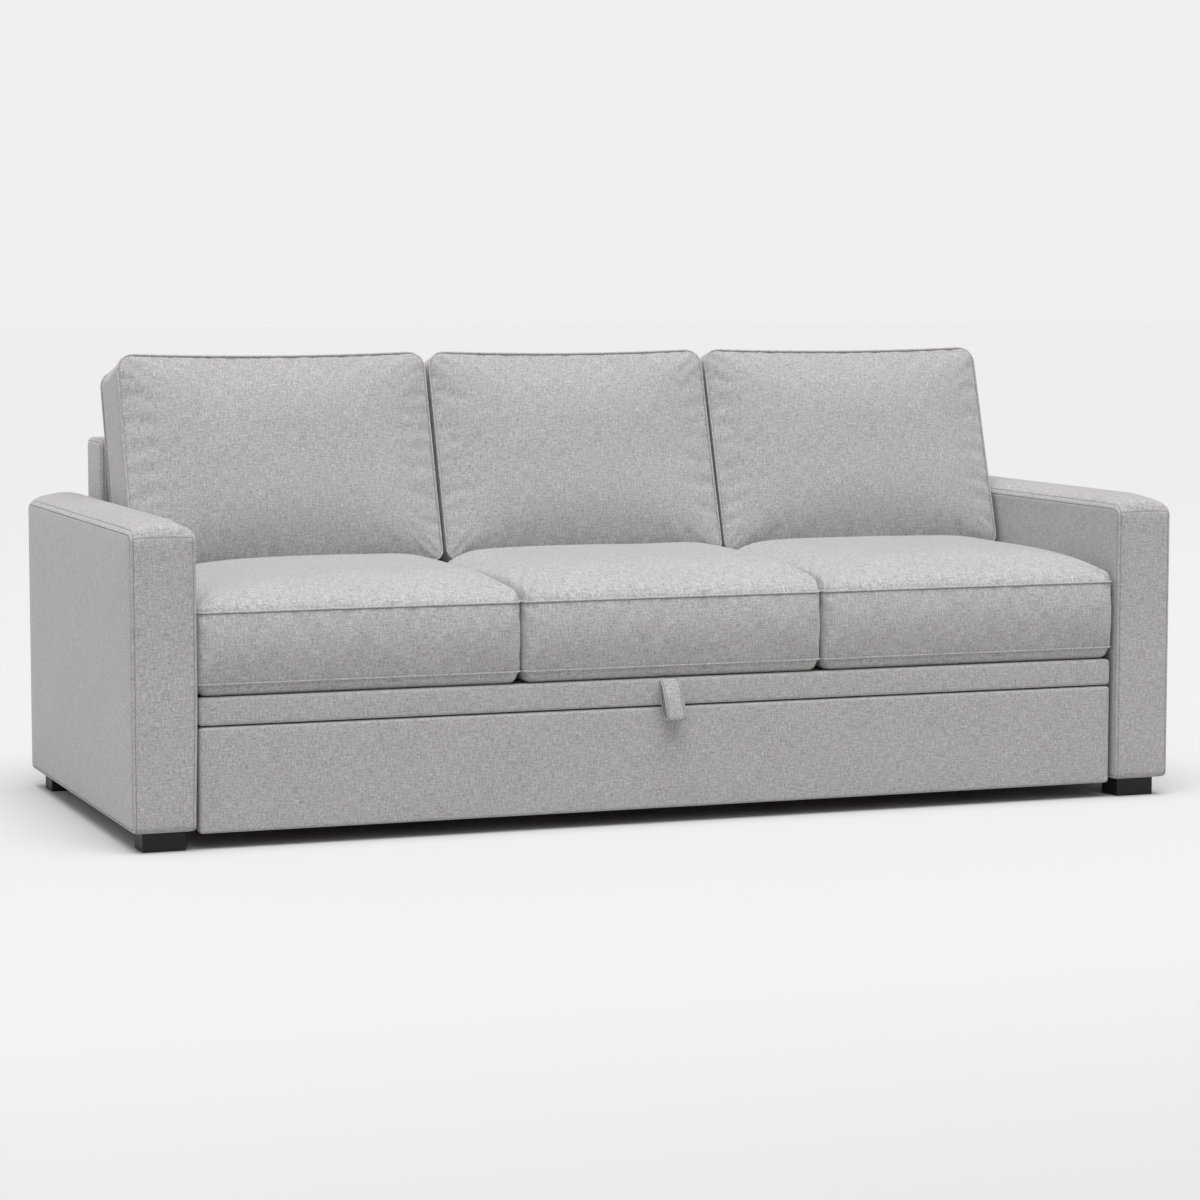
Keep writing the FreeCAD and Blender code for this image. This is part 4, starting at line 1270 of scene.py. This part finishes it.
class SOFABED_OT_front_covers(bpy.types.Operator):
    """Cover the front panel and the front rail, which draw out together"""

    bl_idname = "sofabed.front_covers"
    bl_label = "Front panel and rail covers"

    def execute(self, context):
        radius, foot = 0.0065, 0.0068
        for node, corner in (("front_panel_cover", 0.008), ("front_rail_cover", 0.009)):
            low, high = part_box(node)
            outline = Outline(
                (low.x, low.z), (high.x, high.z), (foot, foot, corner, corner), step=0.02)
            rings = edge_rings(low.y, 1, radius)
            rings.append(((low.y + high.y) / 2, 0.0, 0.0))
            rings += reversed(edge_rings(high.y, -1, radius))
            name = node.replace("cover", "upholstery")
            mesh = sleeve(
                name, outline, rings, lambda a, b, along: Vector((a, along, b)), 0.0014)
            piece = link_mesh(name, mesh, "pull_out_bed", cover_cloth(context))
            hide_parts(node)
        return {"FINISHED"}


class SOFABED_OT_seat_cushions(bpy.types.Operator):
    """Make the three boxed seat cushions with their piping"""

    bl_idname = "sofabed.seat_cushions"
    bl_label = "Seat cushions"

    def execute(self, context):
        shapes = []
        beside_left_arm, beside_right_arm, beside_cushion = (1.0, 0.38), (0.8, 0.24), (0.46, 0.13)
        for order, name in enumerate(NAMES):
            low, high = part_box("seat_cushion_" + name)
            half = ((high.x - low.x) / 2 - 0.0015, (high.y - low.y) / 2 - 0.008)
            fullness = (
                beside_left_arm if name == "left" else beside_cushion,
                beside_right_arm if name == "right" else beside_cushion, (0.62, 0.30))
            shape = CushionShape(
                half, (0.018, 0.018), (SEAT_LOW_SEAM, SEAT_HIGH_SEAM),
                SEAT_TOP - SEAT_HIGH_SEAM - (0.0165 if name == "left" else 0.0095),
                SEAT_LOW_SEAM - DECK - 0.0006, (0.003, 0.001), (0.001, 0.0065), 1 + order,
                fullness, flat=True)
            middle = Vector(((low.x + high.x) / 2, (low.y + high.y) / 2, 0))
            shapes.append((name, shape, Matrix.Translation(middle)))
        dress_cushions("seat", shapes, press_seat, context)
        return {"FINISHED"}


class SOFABED_OT_back_cushions(bpy.types.Operator):
    """Make the three boxed back cushions with their piping"""

    bl_idname = "sofabed.back_cushions"
    bl_label = "Back cushions"

    def execute(self, context):
        shapes = []
        centre_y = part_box("back_cover")[0].y - BACK_OUT
        centre_z = BACK_FOOT + BACK_HALF_HEIGHT * math.cos(BACK_LEAN)
        across = Vector((1, 0, 0))
        upward = Vector((0, math.sin(BACK_LEAN), math.cos(BACK_LEAN)))
        forward = Vector((0, -math.cos(BACK_LEAN), math.sin(BACK_LEAN)))
        turn = Matrix((across, upward, forward)).transposed().to_4x4()
        for order, (name, shift) in enumerate(zip(NAMES, (-0.001, -0.003, -0.0065))):
            low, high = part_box("back_cushion_" + name)
            shape = CushionShape(
                ((high.x - low.x) / 2 - 0.003, BACK_HALF_HEIGHT), (0.023, 0.035),
                (-BACK_HALF_BOX, BACK_HALF_BOX), BACK_CROWN - 0.003, BACK_BELLY - 0.003,
                (0.007, 0.001), (0.002, 0.004), 10 + order, ((0.64, 0.66),) * 3, 0.010)
            centre = ((low.x + high.x) / 2 + shift, centre_y, centre_z)
            shapes.append((name, shape, Matrix.Translation(centre) @ turn))
        dress_cushions("back", shapes, press_back, context)
        return {"FINISHED"}


class SOFABED_OT_pull_strap(bpy.types.Operator):
    """Make the folded pull strap with its stitch lines"""

    bl_idname = "sofabed.pull_strap"
    bl_label = "Pull strap"

    def execute(self, context):
        low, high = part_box("pull_strap")
        back = high.y - 0.0009
        spline = smooth_path([
            (back, 0.2886), (back, 0.262), (back - 0.0010, 0.240), (back - 0.0040, 0.2240),
            (back - 0.0105, 0.2130), (back - 0.0185, 0.2096), (low.y + 0.0028, 0.2104),
            (low.y + 0.0009, 0.2130), (low.y + 0.0012, 0.2190), (low.y + 0.0042, 0.2360),
            (low.y + 0.0090, 0.2560), (low.y + 0.0155, 0.2740), (back - 0.0062, 0.2850),
            (back - 0.0026, 0.2886)], 6)
        middle, half = (low.x + high.x) / 2, (high.x - low.x) / 2
        widths = both_ways(0.5, 0.80, 0.825, 0.85, 0.875, 0.90, 0.97, 1.0)
        thick, skew, stitch_line = 0.0008, 0.09, 0.85
        ways = []
        for index in range(len(spline)):
            run = spline[min(index + 1, len(spline) - 1)] - spline[max(index - 1, 0)]
            run.normalize()
            ways.append(Vector((run.y, -run.x)))

        def spot(point, way, share, lift):
            """A point of the strap: its share of the half-width, and its height over the middle."""
            return Vector((
                middle + share * half - skew * (point.y - low.z), point.x + way.x * lift,
                point.y + way.y * lift))

        points, faces, cuts, seams = [], [], [], []
        for point, way in zip(spline, ways):
            for face in (1, -1):
                for share in widths[::face]:
                    # The stitch lines' grooves, with painted shade in them
                    dip = math.exp(-((abs(share) - stitch_line) / 0.042) ** 2)
                    lift = thick * (0.35 if abs(share) == 1 else 1) - dip * 0.0004
                    points.append(spot(point, way, share, lift * face))
                    seams.append(dip)
        ring = 2 * len(widths)
        girth = [share * half for share in widths + widths[::-1]]
        steps = distances(spline)
        for row, column, face in bands(len(spline), ring):
            following = (column + 1) % ring
            faces.append(face)
            cuts.append((
                (girth[column], steps[row]), (girth[following], steps[row]),
                (girth[following], steps[row + 1]), (girth[column], steps[row + 1])))
        for row in (0, len(spline) - 1):
            face = tuple(row * ring + column for column in range(ring))
            faces.append(face if row else face[::-1])
            cuts.append(tuple((girth[corner % ring], 0.0) for corner in faces[-1]))
        name = "pull_strap_webbing"
        mesh = tidy(mesh_from(name, points, faces, cuts, seams))
        cloth = material("cloth_strap", cloth_material, context.scene.sofa_cloth, 1.02, 0.8, 0.6)
        piece = link_mesh(name, mesh, "pull_strap", cloth)
        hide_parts("pull_strap")
        paths = [
            [spot(point, way, share, lift) for point, way in zip(spline, ways)]
            for share in (-stitch_line, stitch_line) for lift in (-0.0007, 0.0007)]
        stitched("pull_strap_stitches", paths, context.scene.sofa_trim, "pull_strap")
        return {"FINISHED"}


class SOFABED_OT_slat_screws(bpy.types.Operator):
    """Screw the slats down at both ends"""

    bl_idname = "sofabed.slat_screws"
    bl_label = "Slat screws"

    def execute(self, context):
        # Sides of a head, its radius, and half the distance between the two screws of a joint
        sides, head_radius, apart = 16, 0.0042, 0.022
        work = bmesh.new()
        rim = [(math.cos(2 * math.pi * step / sides), math.sin(2 * math.pi * step / sides))
               for step in range(sides)]
        rows = [[work.verts.new((x * size, y * size, z)) for x, y in rim]
                for size, z in ((1.0, -0.25), (1.0, 0.02), (0.92, 0.10), (0.62, 0.16),
                                (0.34, 0.17), (0.30, -0.10))]
        for lower, upper in zip(rows, rows[1:]):
            for index in range(sides):
                following = (index + 1) % sides
                work.faces.new((lower[index], lower[following], upper[following], upper[index]))
        work.faces.new(rows[-1])
        work.faces.new(rows[0][::-1])
        bmesh.ops.recalc_face_normals(work, faces=work.faces)
        mesh = bpy.data.meshes.new("screw_head")
        work.to_mesh(mesh)
        work.free()
        head = placed("screw_head", mesh)
        steel = zinc()
        group = node_group("screws", {
            "Radius": "Float", "Seed": "Int", "Head": "Object", "Steel": "Material"}, fill_screws)
        deck_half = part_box("side_rail_right")[0].x - 0.010
        pitch = 2 * deck_half / SLATS
        for node, body, start, rails in (
                ("fixed_slats", "sofa_body", 0, ("front_cross_rail", "rear_cross_rail")),
                ("moving_slats", "pull_out_bed", 1, ("front_sill", "rear_batten"))):
            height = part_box(node)[1].z
            points = []
            for index in range(start, SLATS, 2):
                middle = -deck_half + (index + 0.5) * pitch
                for rail in rails:
                    low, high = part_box(rail)
                    points += [(middle + shift, (low.y + high.y) / 2, height)
                               for shift in (-apart, apart)]
            mesh = bpy.data.meshes.new(node + "_screws")
            mesh.from_pydata(points, [], [])
            grown(node + "_screws", mesh, group, {
                "Radius": head_radius, "Seed": 5, "Head": head, "Steel": steel},
                body, steel)
        bpy.data.objects.remove(head)
        return {"FINISHED"}


class SOFABED_PT_tools(bpy.types.Panel):
    """The steps that dress the sofa bed"""

    bl_label = "Sofa bed"
    bl_idname = "SOFABED_PT_tools"
    bl_space_type = "VIEW_3D"
    bl_region_type = "UI"
    bl_category = "Sofa bed"

    def draw(self, context):
        for name, kind in SETTINGS:
            box = self.layout.box()
            group = getattr(context.scene, name)
            for key in group.bl_rna.properties.keys():
                if key not in ("rna_type", "name"):
                    box.prop(group, key)
        for step in STEPS:
            self.layout.operator(step.bl_idname)


SETTINGS = (
    ("sofa_cloth", ClothSettings),
    ("sofa_cushions", CushionSettings),
    ("sofa_trim", TrimSettings),
    ("sofa_stage", StageSettings),
)
STEPS = (
    SOFABED_OT_stage,
    SOFABED_OT_frame_finishes,
    SOFABED_OT_arm_covers,
    SOFABED_OT_back_cover,
    SOFABED_OT_front_covers,
    SOFABED_OT_seat_cushions,
    SOFABED_OT_back_cushions,
    SOFABED_OT_pull_strap,
    SOFABED_OT_slat_screws,
)


def register():
    for name, group in SETTINGS:
        bpy.utils.register_class(group)
        setattr(bpy.types.Scene, name, bpy.props.PointerProperty(type=group))
    for step in (*STEPS, SOFABED_PT_tools):
        bpy.utils.register_class(step)


def unregister():
    for step in reversed((*STEPS, SOFABED_PT_tools)):
        bpy.utils.unregister_class(step)
    for name, group in reversed(SETTINGS):
        delattr(bpy.types.Scene, name)
        bpy.utils.unregister_class(group)


def main():
    register()
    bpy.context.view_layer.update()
    bpy.ops.sofabed.stage()
    bpy.ops.sofabed.frame_finishes()
    bpy.ops.sofabed.arm_covers()
    bpy.ops.sofabed.back_cover()
    bpy.ops.sofabed.front_covers()
    bpy.ops.sofabed.seat_cushions()
    bpy.ops.sofabed.back_cushions()
    bpy.ops.sofabed.pull_strap()
    bpy.ops.sofabed.slat_screws()


if __name__ == "__main__":
    main()
